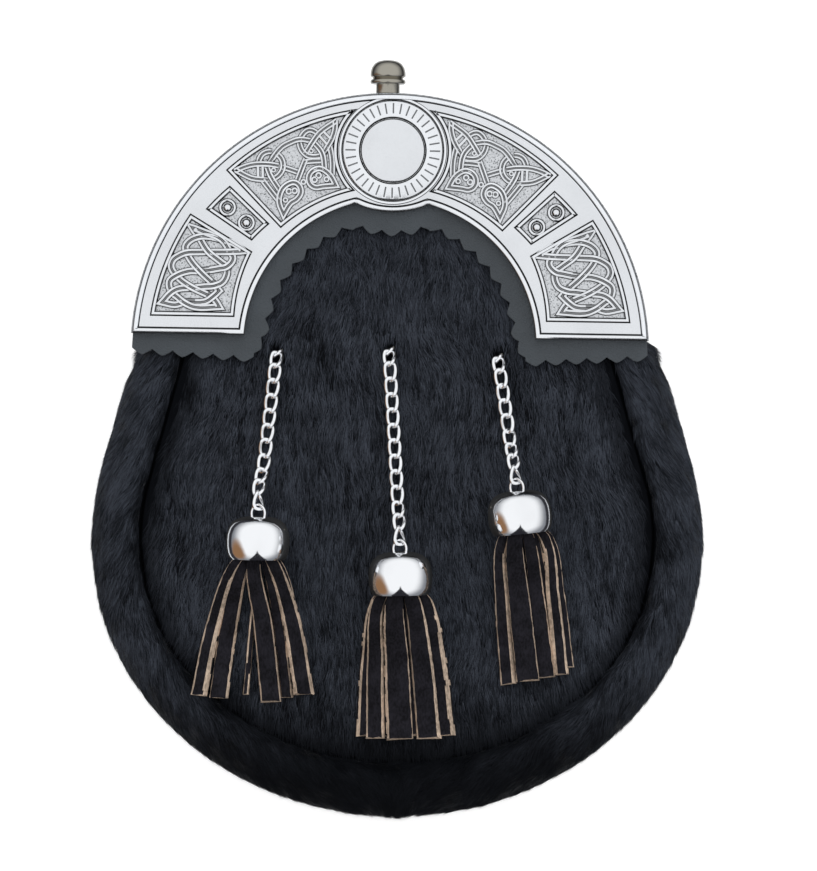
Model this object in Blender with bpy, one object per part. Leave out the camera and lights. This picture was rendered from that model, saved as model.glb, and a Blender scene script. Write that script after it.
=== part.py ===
"""A dress sporran: a hide pouch with a cast cantle, three chains and three leather tassels.

It lies on its back. +Z is out of its front, +Y is towards the knob at its top, and +X is to the
right of someone who looks at the front. The origin lies on the surface under its middle. Metres.
"""

import math

import bmesh
import bpy
from mathutils import Matrix, Vector

# Sizes that fit pieces to each other
GAP = 0.0003

# The pouch, seen from the front
POUCH_HALF_WIDTH = 0.0921
LOWER_DEPTH = 0.0820
WIDEST_Y = -0.0319
SEAM_INSET = 0.0157
SEAM_LOWER_DEPTH = 0.0640
TOP_BAND = 0.0130

# The pouch, from the surface it lies on to the hide of its front
FRONT_Z = 0.0250
BACK_RECESS = 0.0071
PANEL_WALL = 0.0020
GUSSET_WALL = 0.0018
SEAM_FLANGE = 0.0042
SEAM_CLEARANCE = 0.0005
ROLL_RISE = 0.0026
CROWN = 0.0050
CROWN_REACH = 0.0700

# The cantle
CANTLE_X = -0.0022
CANTLE_Y = 0.0259
CANTLE_TURN = math.radians(-0.9)
CANTLE_RADIUS = 0.0777
CANTLE_INNER_RADIUS = 0.0436
CANTLE_INNER_Y = 0.0020
CANTLE_FOOT_Y = 0.0046
CANTLE_PLATE = 0.0028
GROUND_DEPTH = 0.0008
RIM_WIDTH = 0.0020
RIM_RISE = 0.0008
INNER_RIM_WIDTH = 0.0018
INNER_RIM_RISE = 0.0004
FRAME_WIDTH = 0.0012
FRAME_RISE = 0.0003
STRAND_RISE = 0.0010
STRAND_LIFT = 0.00025
SKIRT_DEPTH = 0.0115
SKIRT_WALL = 0.0018
SKIRT_START = 20
SKIRT_CLEARANCE = 0.0007

# The medallion in the cantle's middle
MEDALLION_Y = 0.0604
MEDALLION_RADIUS = 0.0168
MEDALLION_RISE = 0.0005
MEDALLION_DISC_RADIUS = 0.0098
BULGE_RADIUS = 0.0255
BULGE_LOW_Y = 0.0419
BOSS_RING_RADIUS = 0.00235
BOSS_RING_WIDTH = 0.0009
BOSS_RADIUS = 0.0012

# The pinked leather under the cantle
TRIM_WALL = 0.0018
TRIM_SHOWS = 0.0062
TRIM_FOOT_SHOWS = 0.0028
TRIM_START = 4
TRIM_FOOT_Y = -0.0006
TRIM_FOOT_SLOPE = 0.0022
TOOTH_PITCH = 0.0061
TOOTH_DEPTH = 0.0018

# The knob on the cantle
KNOB_X = -0.0018
KNOB_HEAD_RADIUS = 0.0053
KNOB_HEAD_HEIGHT = 0.0071
KNOB_STEM_RADIUS = 0.00355
KNOB_STEM_LENGTH = 0.0029
KNOB_PIN_RADIUS = 0.0018
KNOB_PIN_LENGTH = 0.0045

# The chains
LINK_PITCH = 0.0045
LINK_WIDTH = 0.0044
LINK_WIRE = 0.00115
LINK_BITE = 0.00025
LINK_LIE = 0.47
LINK_STEPS = 10
WIRE_STEPS = 5
CHAIN_FALL = 0.55
HOLE_RADIUS = 0.0029
HOLE_STRETCH = 1.55
ANCHOR_RADIUS = 0.0006
ANCHOR_LENGTH = 0.0120

# The tassels
CAP_RADIUS = 0.0095
CAP_HEIGHT = 0.0130
CAP_WALL = 0.0007
CAP_MOUTH = 0.86
STAPLE_RADIUS = 0.0026
STAPLE_WIRE = 0.0008
STAPLE_LIFT = 0.0011
STRIP_LENGTH = 0.0435
STRIP_WIDTH = 0.0048
STRIP_WALL = 0.0018
STRIP_LAP = 0.7
STRIPS_HELD = 0.62
HEAD_LENGTH = 0.0045

# The back
MOUTH_HALF_WIDTH = 0.0450
MOUTH_HEIGHT = 0.0220
MOUTH_DROP = 0.0816
FLAP_HALF_WIDTH = 0.0540
FLAP_WALL = 0.0018
FLAP_SEAM = 0.0090
FLAP_REACH = 0.0340
LOOP_X = 0.0260
LOOP_WIDTH = 0.0220
LOOP_WALL = 0.0020
LOOP_LENGTH = 0.0120
LOOP_FOOT = 0.0042
BELT_SLOT = 0.0042
STUD_HEAD_RADIUS = 0.0050
STUD_POST_RADIUS = 0.0018

# Places and heights that follow from those sizes
MOUTH_Y = CANTLE_Y + CANTLE_RADIUS - MOUTH_DROP
PANEL_UNDER_Z = FRONT_Z - PANEL_WALL
BACK_TOP_Z = BACK_RECESS + PANEL_WALL
CANTLE_BACK_Z = FRONT_Z + TRIM_WALL + 2 * GAP
CANTLE_FLAT_Z = CANTLE_BACK_Z + CANTLE_PLATE
CANTLE_GROUND_Z = CANTLE_FLAT_Z - GROUND_DEPTH
RELIEF_ROOT_Z = CANTLE_GROUND_Z - CANTLE_PLATE / 4
TOP_RADIUS = CANTLE_RADIUS - SKIRT_WALL - SKIRT_CLEARANCE - abs(CANTLE_X)
SEAM_HALF_WIDTH = POUCH_HALF_WIDTH - SEAM_INSET
KNOB_Z = CANTLE_BACK_Z + CANTLE_PLATE / 2 - SKIRT_DEPTH / 2

# The knots are charted in units of which the cantle's radius has this many
CHART_RADIUS = 77.7
STRAND_WIDTH = 1.9
FINE_STRAND_WIDTH = 1.6

# Sides of the pouch above its widest line. Columns: height as a share of the way from the
# widest line to the cantle's centre, half width of the edge and of the seam as shares of
# the widest half widths, and how much of the roll's rise there is.
SIDE_ROWS = (
    (0.21, 0.990, 0.990, 1.0),
    (0.42, 0.964, 0.950, 1.0),
    (0.62, 0.929, 0.908, 0.8),
    (0.83, 0.890, 0.864, 0.4),
    (0.955, 0.857, 0.838, 0.0),
    (1.03, 0.838, 0.826, 0.0),
)

# Outer face of the gusset, from its seam with the front to its seam with the back. Columns:
# share of the band's width, share of the height up to the front, share of the roll's rise.
GUSSET_ROWS = (
    (0.13, 0.985, 0.45),
    (0.45, 1.000, 1.00),
    (0.84, 0.850, 0.60),
    (1.00, 0.500, 0.00),
    (0.84, 0.110, 0.00),
    (0.58, 0.000, 0.00),
    (0.28, 0.000, 0.00),
)

# Panels of the cantle's left half. Columns: outer and inner radius as shares of the
# cantle's, where the outer edge starts and ends and where the inner edge does, in degrees.
PANELS = (
    ("upper", 0.933, 0.636, 100.3, 132.6, 101.5, 132.2, 6),
    ("small", 0.893, 0.681, 134.5, 143.0, 134.0, 142.0, 1),
    ("lower", 0.933, 0.634, 145.9, 172.2, 144.7, 168.6, 4),
)

# Bosses in the small panels, in chart units from the cantle's centre
BOSSES = ((-48.6, 43.4), (-42.8, 38.7))

# The lower panels' knot: one closed strand that passes over and under itself in turn.
# Columns: place across and up in chart units, and 1 where it is on top, -1 where under.
LOWER_KNOT = (
    (-59.7, 37.9, 0), (-50.9, 33.0, 1), (-48.4, 29.5, -1), (-47.3, 27.3, 0), (-49.1, 24.9, 1),
    (-51.5, 24.3, 0), (-57.2, 23.4, -1), (-64.2, 22.0, 1), (-66.3, 20.2, 0), (-65.6, 17.0, -1),
    (-63.9, 15.6, 0), (-61.7, 13.9, 1), (-50.0, 12.7, 0), (-51.4, 14.4, 0), (-53.3, 15.6, -1),
    (-59.5, 18.5, 1), (-62.8, 20.6, 0), (-64.2, 22.0, -1), (-65.8, 24.5, 0), (-65.3, 26.6, 0),
    (-61.1, 28.9, 1), (-54.8, 29.2, -1), (-48.4, 29.3, 1), (-44.0, 29.6, 0), (-47.0, 31.8, 0),
    (-50.8, 33.0, -1), (-57.5, 33.7, 1), (-61.6, 30.8, 0), (-61.2, 28.9, -1), (-60.2, 26.9, 0),
    (-57.2, 23.4, 1), (-52.7, 19.2, -1), (-51.3, 17.6, 0), (-53.3, 15.7, 1), (-61.6, 14.0, -1),
    (-64.5, 13.2, 0), (-68.4, 13.9, 0), (-65.5, 17.0, 1), (-59.5, 18.4, -1), (-52.7, 19.1, 1),
    (-50.0, 20.6, 0), (-49.2, 24.7, -1), (-51.0, 26.3, 0), (-54.8, 29.3, 1), (-57.6, 33.5, -1),
)

# The upper panels' knot of two birds, as runs between the places where a run dives under
# another. Columns as above. The first list closes on itself, the second is open.
UPPER_HEADS = (
    (
        (-32.4, 40.8, 0), (-33.8, 44.5, 0), (-33.0, 48.2, 1), (-31.2, 49.9, 1),
        (-29.4, 50.4, 1), (-27.8, 49.4, 0), (-27.3, 47.5, 0), (-28.5, 45.4, 0),
        (-30.3, 44.2, 0),
    ),
    (
        (-16.9, 49.7, 0), (-18.3, 52.3, 0), (-19.9, 53.9, 0), (-22.0, 54.7, 1),
        (-24.1, 53.8, 1), (-25.1, 51.7, 0), (-24.5, 49.9, 0), (-22.9, 49.0, 0),
        (-20.9, 49.3, 0),
    ),
)
UPPER_RUNS = (
    ((-34.1, 55.3, -1), (-37.0, 55.7, 1), (-41.5, 55.6, 0), (-44.4, 54.8, 0), (-47.2, 53.5, 0)),
    ((-47.0, 53.9, 0), (-44.4, 52.5, 0), (-42.0, 51.5, 0), (-37.2, 51.1, -1)),
    ((-36.2, 59.6, -1), (-37.8, 59.4, 0), (-39.1, 58.6, 0), (-40.3, 56.2, -1)),
    ((-24.6, 63.0, -1), (-28.1, 63.3, 1), (-30.7, 62.4, 0), (-33.3, 60.9, 0), (-36.9, 56.2, -1)),
    ((-35.2, 59.4, -1), (-33.2, 57.3, 0), (-32.8, 54.6, 1), (-34.1, 52.4, 0), (-36.4, 51.0, -1)),
    ((-37.7, 55.3, -1), (-36.5, 52.3, 1), (-33.6, 47.9, -1)),
    ((-38.9, 51.0, -1), (-36.6, 48.1, 0), (-34.0, 44.9, -1)),
    ((-26.0, 57.6, -1), (-27.3, 54.1, 1), (-28.5, 50.8, -1)),
    ((-33.2, 55.0, -1), (-28.3, 53.5, -1)),
    ((-28.2, 62.8, -1), (-27.3, 60.2, 0), (-25.7, 58.6, 0), (-23.8, 58.2, 1), (-21.2, 58.6, -1)),
    ((-26.5, 56.6, -1), (-21.0, 57.1, -1)),
    ((-26.2, 59.0, -1), (-24.4, 62.0, 1), (-22.0, 65.4, 0), (-16.9, 69.1, 0)),
    ((-17.4, 69.2, 0), (-17.4, 66.7, 0), (-18.3, 63.6, 0), (-20.8, 59.3, -1)),
    ((-27.9, 63.4, -1), (-26.2, 65.7, 0), (-24.9, 66.2, 0), (-22.4, 65.2, -1)),
    ((-23.9, 62.7, -1), (-21.2, 59.4, 1), (-20.3, 54.4, -1)),
    ((-18.9, 61.4, -1), (-18.1, 57.5, 0), (-18.0, 52.8, -1)),
)

# Tassels. Columns: name, chain's hole and cap's middle as shares of the pouch's half width
# from the middle of its widest line, lean of the cap and strips in degrees.
TASSELS = (
    ("left", -0.391, 0.629, -0.450, 0.026, -1.0),
    ("middle", -0.026, 0.635, 0.011, -0.088, 1.0),
    ("right", 0.329, 0.612, 0.396, 0.110, 6.0),
)

# Strips of each tassel. Columns: where the strip leaves the cap as a share of the cap's
# radius, where it ends and its length as shares of the strips' length, and its layer.
STRIPS = {
    "left": (
        (-0.68, -0.400, 0.97, 1), (-0.45, -0.285, 1.02, 0), (-0.22, -0.165, 1.00, 1),
        (0.00, -0.050, 0.99, 0), (0.18, 0.090, 1.01, 1), (0.42, 0.210, 1.00, 0),
        (0.66, 0.325, 0.97, 1),
    ),
    "middle": (
        (-0.66, -0.255, 0.99, 1), (-0.42, -0.145, 1.02, 0), (-0.18, -0.050, 1.01, 1),
        (0.06, 0.060, 1.02, 0), (0.30, 0.165, 1.02, 1), (0.50, 0.250, 1.00, 0),
        (0.68, 0.310, 1.01, 1),
    ),
    "right": (
        (-0.66, -0.215, 1.00, 1), (-0.42, -0.130, 1.03, 0), (-0.18, -0.040, 1.03, 1),
        (0.08, 0.045, 1.02, 0), (0.30, 0.120, 1.00, 1), (0.50, 0.185, 0.98, 0),
        (0.66, 0.225, 0.97, 1),
    ),
}

# Cap, from its top to its mouth. Columns: share of its height, share of its radius.
CAP_ROWS = (
    (0.00, 0.34), (0.08, 0.70), (0.30, 0.95), (0.62, 1.00), (1.00, CAP_MOUTH),
)

# Knob, from the end of its stem outwards. Columns: share of the head's height, share of its radius.
KNOB_ROWS = ((0.00, 0.96), (0.16, 0.96), (0.24, 0.82), (0.42, 1.00), (0.76, 0.92), (1.00, 0.40))


def clear_scene():
    for thing in list(bpy.data.objects):
        bpy.data.objects.remove(thing, do_unlink=True)


def make_material(name, colour, roughness, metallic):
    material = bpy.data.materials.new(name)
    material.use_nodes = True
    shader = material.node_tree.nodes["Principled BSDF"]
    shader.inputs["Base Color"].default_value = (*colour, 1.0)
    shader.inputs["Roughness"].default_value = roughness
    shader.inputs["Metallic"].default_value = metallic
    return material


def make_object(name, bm, material, smooth=None):
    """The finished mesh as a named object, shaded smooth where its faces meet gently."""
    mesh = bpy.data.meshes.new(name)
    bm.to_mesh(mesh)
    bm.free()
    mesh.materials.append(material)
    if smooth:
        mesh.shade_smooth()
        mesh.set_sharp_from_angle(angle=math.radians(smooth))
    thing = bpy.data.objects.new(name, mesh)
    bpy.context.scene.collection.objects.link(thing)
    return thing


def combine(thing, other, operation):
    """Joins or cuts the first object with the second, which is then removed."""
    modifier = thing.modifiers.new(operation, "BOOLEAN")
    modifier.operation = operation
    modifier.solver = "EXACT"
    modifier.use_self = True
    modifier.object = other
    bpy.context.view_layer.update()
    graph = bpy.context.evaluated_depsgraph_get()
    mesh = bpy.data.meshes.new_from_object(thing.evaluated_get(graph))
    thing.modifiers.clear()
    thing.data = mesh
    bpy.data.objects.remove(other, do_unlink=True)


def skin(bm, rows, columns, place, closed_rows=False):
    """Adds a tube whose sections place(row, column) gives. Its ends are filled unless it is closed."""
    last_row = rows if closed_rows else rows - 1
    made = bmesh.ops.create_grid(bm, x_segments=columns, y_segments=last_row, size=1)["verts"]
    spots = sorted(made, key=lambda vert: (round(vert.co.y, 6), round(vert.co.x, 6)))
    for index, vert in enumerate(spots):
        row, column = divmod(index, columns + 1)
        vert.co = place(row % rows, column % columns)
    bmesh.ops.remove_doubles(bm, verts=made, dist=1e-7)
    made = [vert for vert in made if vert.is_valid]
    edges = {edge for vert in made for edge in vert.link_edges if edge.is_boundary}
    if edges:
        bmesh.ops.holes_fill(bm, edges=list(edges), sides=0)
    faces = {face for vert in made for face in vert.link_faces}
    bmesh.ops.recalc_face_normals(bm, faces=list(faces))


def loft(name, rows, columns, place, material, closed_rows=False, smooth=None):
    bm = bmesh.new()
    skin(bm, rows, columns, place, closed_rows)
    return make_object(name, bm, material, smooth)


def turned(name, profile, sides, material, smooth=None):
    """A solid of revolution about Z through rows of (radius, height); ends on the axis are closed."""

    def place(row, column):
        radius, height = profile[row]
        angle = math.tau * column / sides
        return Vector((radius * math.cos(angle), radius * math.sin(angle), height))

    return loft(name, len(profile), sides, place, material, smooth=smooth)


def mix(first, second, share):
    return first + (second - first) * share


def on_arc(radius, degrees):
    angle = math.radians(degrees)
    return Vector((radius * math.cos(angle), radius * math.sin(angle)))


def bars(bm, points, width, root, tops, closed=False):
    """Adds a bar of the given width along points in the plane, from root up to each point's top."""
    count = len(points)

    def side(index):
        before = points[(index - 1) % count] if closed or index > 0 else points[index]
        after = points[(index + 1) % count] if closed or index < count - 1 else points[index]
        come = (points[index] - before).normalized() if index > 0 or closed else None
        leave = (after - points[index]).normalized() if index < count - 1 or closed else None
        come = come or leave
        leave = leave or come
        across = Vector((-come.y - leave.y, come.x + leave.x)).normalized()
        spread = max(0.55, across.dot(Vector((-leave.y, leave.x))))
        return across * (width / 2 / spread)

    def place(row, column):
        sign = -1 if column in (0, 1) else 1
        spot = points[row] + sign * side(row)
        return Vector((spot.x, spot.y, root if column in (0, 3) else tops[row]))

    skin(bm, count, 4, place, closed_rows=closed)


def disc(bm, x, y, radius, bottom, top, sides):
    spot = Matrix.Translation((x, y, (bottom + top) / 2))
    bmesh.ops.create_cone(
        bm, cap_ends=True, segments=sides, radius1=radius, radius2=radius, depth=top - bottom, matrix=spot
    )


def circle(x, y, radius, steps):
    return [Vector((x, y)) + on_arc(radius, 360 * step / steps) for step in range(steps)]


def hide_level(x, y):
    """Height of the front's hide above the surface that the pouch lies on."""
    reach = math.hypot(x, y - WIDEST_Y) / CROWN_REACH
    return FRONT_Z + CROWN * max(0.0, 1 - reach * reach) ** 2


def lying_level(x, y):
    """Height of what a strip lies on: the front's hide, or the roll past the front's seam."""
    ratio = math.hypot(x / SEAM_HALF_WIDTH, min(0.0, y - WIDEST_Y) / SEAM_LOWER_DEPTH)
    near = min(1.0, max(0.0, (ratio - 0.80) / 0.14))
    return max(hide_level(x, y), mix(FRONT_Z, FRONT_Z + ROLL_RISE, near))


def half_stations():
    """Seam point, edge point and share of the roll's rise, from the lowest middle to the top middle."""
    stations = []
    for step in range(6):
        turn = math.radians(18 * step)
        seam = Vector((SEAM_HALF_WIDTH * math.sin(turn), WIDEST_Y - SEAM_LOWER_DEPTH * math.cos(turn)))
        edge = Vector((POUCH_HALF_WIDTH * math.sin(turn), WIDEST_Y - LOWER_DEPTH * math.cos(turn)))
        stations.append((seam, edge, 1.0))
    for height, edge_share, seam_share, roll in SIDE_ROWS:
        y = mix(WIDEST_Y, CANTLE_Y, height)
        seam = Vector((SEAM_HALF_WIDTH * seam_share, y))
        edge = Vector((POUCH_HALF_WIDTH * edge_share, y))
        stations.append((seam, edge, roll))
    centre = Vector((0.0, CANTLE_Y))
    for degrees in (6, 27, 48, 69, 90):
        seam = centre + on_arc(TOP_RADIUS - TOP_BAND, degrees)
        edge = centre + on_arc(TOP_RADIUS, degrees)
        stations.append((seam, edge, 0.0))
    return stations


def pouch_stations():
    """The stations of both halves, all the way round."""
    half = half_stations()

    def flipped(point):
        return Vector((-point.x, point.y))

    return half + [(flipped(seam), flipped(edge), roll) for seam, edge, roll in half[-2:0:-1]]


def wall_path(outer, wall):
    """A closed section: the outer path, and back along the same path moved in by the wall."""
    inner = []
    for index, point in enumerate(outer):
        come = (point - outer[index - 1]).normalized() if index else None
        leave = (outer[index + 1] - point).normalized() if index < len(outer) - 1 else None
        come = come or leave
        leave = leave or come
        inward = Vector((come.y + leave.y, -come.x - leave.x)).normalized()
        spread = max(0.6, inward.dot(Vector((leave.y, -leave.x))))
        inner.append(point + inward * (wall / spread))
    return outer + inner[::-1]


def gusset_section(seam, edge, roll):
    """Section of the gusset at one station, as points of (distance out from the seam, height)."""
    band = (edge - seam).length
    front = PANEL_UNDER_Z - GAP
    back = BACK_TOP_Z + GAP
    outer = [Vector((-SEAM_FLANGE, front)), Vector((SEAM_CLEARANCE, front))]
    for across, height, rise in GUSSET_ROWS:
        outer.append(Vector((band * across, FRONT_Z * height + ROLL_RISE * roll * rise)))
    outer += [Vector((SEAM_CLEARANCE, back)), Vector((-SEAM_FLANGE, back))]
    return wall_path(outer, GUSSET_WALL)


def build_gusset(material):
    stations = pouch_stations()
    sections = [gusset_section(*station) for station in stations]

    def place(row, column):
        seam, edge, _ = stations[row]
        out, height = sections[row][column]
        spot = seam + (edge - seam).normalized() * out
        return Vector((spot.x, spot.y, height))

    return loft("gusset", len(stations), len(sections[0]), place, material, closed_rows=True, smooth=50)


def build_front_panel(material):
    """The hide of the front, crowned in its middle, with a hole for each chain."""
    seams = [seam for seam, _, _ in pouch_stations()]
    middle = Vector((0.0, WIDEST_Y))
    crown_shares = (0.0, 0.5, 1.0)
    rings = [(share, 0.0) for share in crown_shares] + [(None, 0.0), (None, PANEL_WALL)]
    rings += [(share, PANEL_WALL) for share in crown_shares[::-1]]

    def place(row, column):
        share, sunk = rings[row]
        seam = seams[column]
        reach = 1.0 if share is None else min(0.94, share * CROWN_REACH / (seam - middle).length)
        spot = middle.lerp(seam, reach)
        return Vector((spot.x, spot.y, hide_level(spot.x, spot.y) - sunk))

    panel = loft("front_panel", len(rings), len(seams), place, material, smooth=40)
    for spec in TASSELS:
        hole, travel = chain_start(spec)
        bm = bmesh.new()
        disc(bm, 0, 0, HOLE_RADIUS, -CROWN - PANEL_WALL, CROWN + PANEL_WALL, 12)
        turn = Matrix.Rotation(math.atan2(travel.y, travel.x), 4, "Z")
        stretch = Matrix.Diagonal((HOLE_STRETCH, 1, 1, 1))
        shift = Matrix.Translation((HOLE_RADIUS * (HOLE_STRETCH - 1), 0, 0))
        spot = Matrix.Translation((hole.x, hole.y, FRONT_Z))
        bm.transform(spot @ turn @ shift @ stretch)
        combine(panel, make_object("hole", bm, material), "DIFFERENCE")
    return panel


def build_back_panel(material):
    """The flat leather back, with the mouth and the stud's hole cut through."""
    seams = [seam for seam, _, _ in pouch_stations()]
    middle = Vector((0.0, WIDEST_Y))
    rings = ((0.0, BACK_TOP_Z), (1.0, BACK_TOP_Z), (1.0, BACK_RECESS), (0.0, BACK_RECESS))

    def place(row, column):
        share, height = rings[row]
        spot = middle.lerp(seams[column], share)
        return Vector((spot.x, spot.y, height))

    panel = loft("back_panel", len(rings), len(seams), place, material)
    combine(panel, make_object("mouth", mouth_cutter(), material), "DIFFERENCE")
    bm = bmesh.new()
    disc(bm, 0, stud_y(), STUD_POST_RADIUS + GAP, 0, 2 * BACK_TOP_Z, 10)
    combine(panel, make_object("stud_hole", bm, material), "DIFFERENCE")
    return panel


def mouth_cutter():
    """A slot with round ends."""
    bm = bmesh.new()
    radius = MOUTH_HEIGHT / 2
    reach = MOUTH_HALF_WIDTH - radius
    outline = [Vector((reach, MOUTH_Y)) + on_arc(radius, degrees) for degrees in range(-90, 91, 30)]
    outline += [Vector((-reach, MOUTH_Y)) + on_arc(radius, degrees) for degrees in range(90, 271, 30)]
    heights = (0.0, 2 * BACK_TOP_Z)

    def place(row, column):
        return Vector((outline[column].x, outline[column].y, heights[row]))

    skin(bm, 2, len(outline), place)
    return bm


def flap_top():
    return MOUTH_Y + MOUTH_HEIGHT / 2 + FLAP_SEAM


def flap_tip():
    return MOUTH_Y - MOUTH_HEIGHT / 2 - FLAP_REACH


def stud_y():
    return flap_tip() + 2 * STUD_HEAD_RADIUS


def build_flap(material):
    """The flap over the mouth: square at its sewn top, and rounded towards its tip."""
    shoulder = MOUTH_Y - MOUTH_HEIGHT / 2
    outline = [Vector((FLAP_HALF_WIDTH, flap_top())), Vector((-FLAP_HALF_WIDTH, flap_top()))]
    for degrees in range(180, 361, 15):
        turn = math.radians(degrees)
        x = FLAP_HALF_WIDTH * math.copysign(abs(math.cos(turn)) ** 0.8, math.cos(turn))
        outline.append(Vector((x, shoulder + FLAP_REACH * math.sin(turn))))
    heights = (BACK_RECESS - GAP - FLAP_WALL, BACK_RECESS - GAP)

    def place(row, column):
        return Vector((outline[column].x, outline[column].y, heights[row]))

    flap = loft("back_flap", 2, len(outline), place, material)
    bm = bmesh.new()
    disc(bm, 0, stud_y(), STUD_POST_RADIUS + GAP, 0, BACK_TOP_Z, 10)
    combine(flap, make_object("flap_hole", bm, material), "DIFFERENCE")
    return flap


def build_stud(material):
    """The stud that holds the flap shut: a low head and a post through flap and back."""
    head_top = BACK_RECESS - 2 * GAP - FLAP_WALL
    head = head_top * 0.35
    rows = (
        (0, head_top - head),
        (STUD_HEAD_RADIUS * 0.8, head_top - head),
        (STUD_HEAD_RADIUS, head_top - head * 0.5),
        (STUD_HEAD_RADIUS, head_top),
        (STUD_POST_RADIUS, head_top),
        (STUD_POST_RADIUS, BACK_TOP_Z + GAP),
        (0, BACK_TOP_Z + GAP),
    )
    stud = turned("flap_stud", rows, 10, material, smooth=40)
    stud.location = (0, stud_y(), 0)
    return stud


def build_belt_loop(name, x, material):
    """A leather loop for the belt: two sewn feet, and a stretch that stands off the back."""
    sewn = BACK_RECESS - GAP
    slack = BACK_RECESS - BELT_SLOT
    bend = (sewn - slack) * 0.8
    start = flap_top() + GAP * 3
    rows = (
        (0, sewn), (LOOP_FOOT, sewn), (LOOP_FOOT + bend, slack),
        (LOOP_FOOT + bend + LOOP_LENGTH, slack), (2 * bend + LOOP_FOOT + LOOP_LENGTH, sewn),
        (2 * bend + 2 * LOOP_FOOT + LOOP_LENGTH, sewn),
    )
    section = [Vector((start + along, height)) for along, height in rows]
    path = wall_path(section, LOOP_WALL)

    def place(row, column):
        side = x + (row * 2 - 1) * LOOP_WIDTH / 2
        return Vector((side, path[column].x, path[column].y))

    return loft(name, 2, len(path), place, material, smooth=40)


def inner_edge(degrees, inset=0.0):
    """Point on the cantle's inner edge, moved in by inset, with the bulge under the medallion."""
    radius = CANTLE_INNER_RADIUS - inset
    plain = Vector((0, CANTLE_INNER_Y)) + on_arc(radius, degrees)
    bulge_centre = BULGE_LOW_Y + BULGE_RADIUS
    depth = (BULGE_RADIUS + inset) ** 2 - plain.x**2
    if depth > 0:
        bulge_y = bulge_centre - math.sqrt(depth)
        plain.y = min(plain.y, bulge_y) if plain.y > CANTLE_FOOT_Y + radius / 2 else plain.y
    return plain


def cantle_stations(count):
    """Outer and inner edge of the cantle, from its right foot round to its left foot."""
    foot = math.degrees(math.asin(CANTLE_FOOT_Y / CANTLE_RADIUS))
    inner_foot = math.degrees(math.asin((CANTLE_FOOT_Y - CANTLE_INNER_Y) / CANTLE_INNER_RADIUS))
    stations = []
    for step in range(count + 1):
        share = step / count
        outer = on_arc(CANTLE_RADIUS, mix(foot, 180 - foot, share))
        stations.append((outer, inner_edge(mix(inner_foot, 180 - inner_foot, share))))
    return stations


def plate(bm, stations, inner_share, outer_share, bottom, top):
    """Adds a layer of the cantle between two shares of the way from its inner to its outer edge."""

    def place(row, column):
        outer, inner = stations[row]
        spot = inner.lerp(outer, inner_share if column in (0, 1) else outer_share)
        return Vector((spot.x, spot.y, bottom if column in (0, 3) else top))

    skin(bm, len(stations), 4, place)


def arc_layer(bm, inner, outer, start, end, steps, bottom, top):
    """Adds a part of a ring about the cantle's centre, between two angles in degrees."""

    def place(row, column):
        spot = on_arc(inner if column in (0, 1) else outer, mix(start, end, row / steps))
        return Vector((spot.x, spot.y, bottom if column in (0, 3) else top))

    skin(bm, steps + 1, 4, place)


def panel_outline(panel):
    """Outline of one panel on the cantle's left half."""
    _, outer, inner, outer_start, outer_end, inner_start, inner_end, steps = panel
    shares = [step / steps for step in range(steps + 1)]
    line = [on_arc(CANTLE_RADIUS * outer, mix(outer_start, outer_end, share)) for share in shares]
    return line + [on_arc(CANTLE_RADIUS * inner, mix(inner_end, inner_start, share)) for share in shares]


def sides(points, side):
    """The points as charted for the left side, or mirrored for the right."""
    return [Vector((point.x * side, point.y)) for point in points]


def chart(rows, side):
    unit = CANTLE_RADIUS / CHART_RADIUS
    points = [Vector((x * unit * side, y * unit)) for x, y, _ in rows]
    tops = [CANTLE_GROUND_Z + STRAND_RISE + STRAND_LIFT * over for _, _, over in rows]
    return points, tops


def build_cantle(material):
    """The cast cantle: plate, rims and skirt, sunk panels, and the relief raised on them."""
    stations = cantle_stations(20)
    body = bmesh.new()
    plate(body, stations, 0.0, 0.97, CANTLE_BACK_Z, CANTLE_FLAT_Z)
    cantle = make_object("cantle", body, material)
    combine(cantle, make_object("panel_cuts", panel_cuts(), material), "DIFFERENCE")
    combine(cantle, make_object("raised", relief(stations), material), "UNION")
    bm = bmesh.new()
    turn = Matrix.Rotation(math.radians(90), 4, "X")
    middle = Matrix.Translation((KNOB_X, CANTLE_RADIUS, KNOB_Z))
    length = 4 * SKIRT_WALL
    bmesh.ops.create_cone(
        bm, cap_ends=True, segments=10, radius1=KNOB_PIN_RADIUS + GAP, radius2=KNOB_PIN_RADIUS + GAP,
        depth=length, matrix=middle @ turn,
    )
    combine(cantle, make_object("knob_hole", bm, material), "DIFFERENCE")
    return cantle


def panel_cuts():
    """Blocks that sink the six panels below the flat."""
    bm = bmesh.new()
    for panel in PANELS:
        for side in (1, -1):
            outline = sides(panel_outline(panel), side)

            def place(row, column, outline=outline):
                height = CANTLE_GROUND_Z if row == 0 else CANTLE_FLAT_Z + RIM_RISE
                return Vector((outline[column].x, outline[column].y, height))

            skin(bm, 2, len(outline), place)
    return bm


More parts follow.
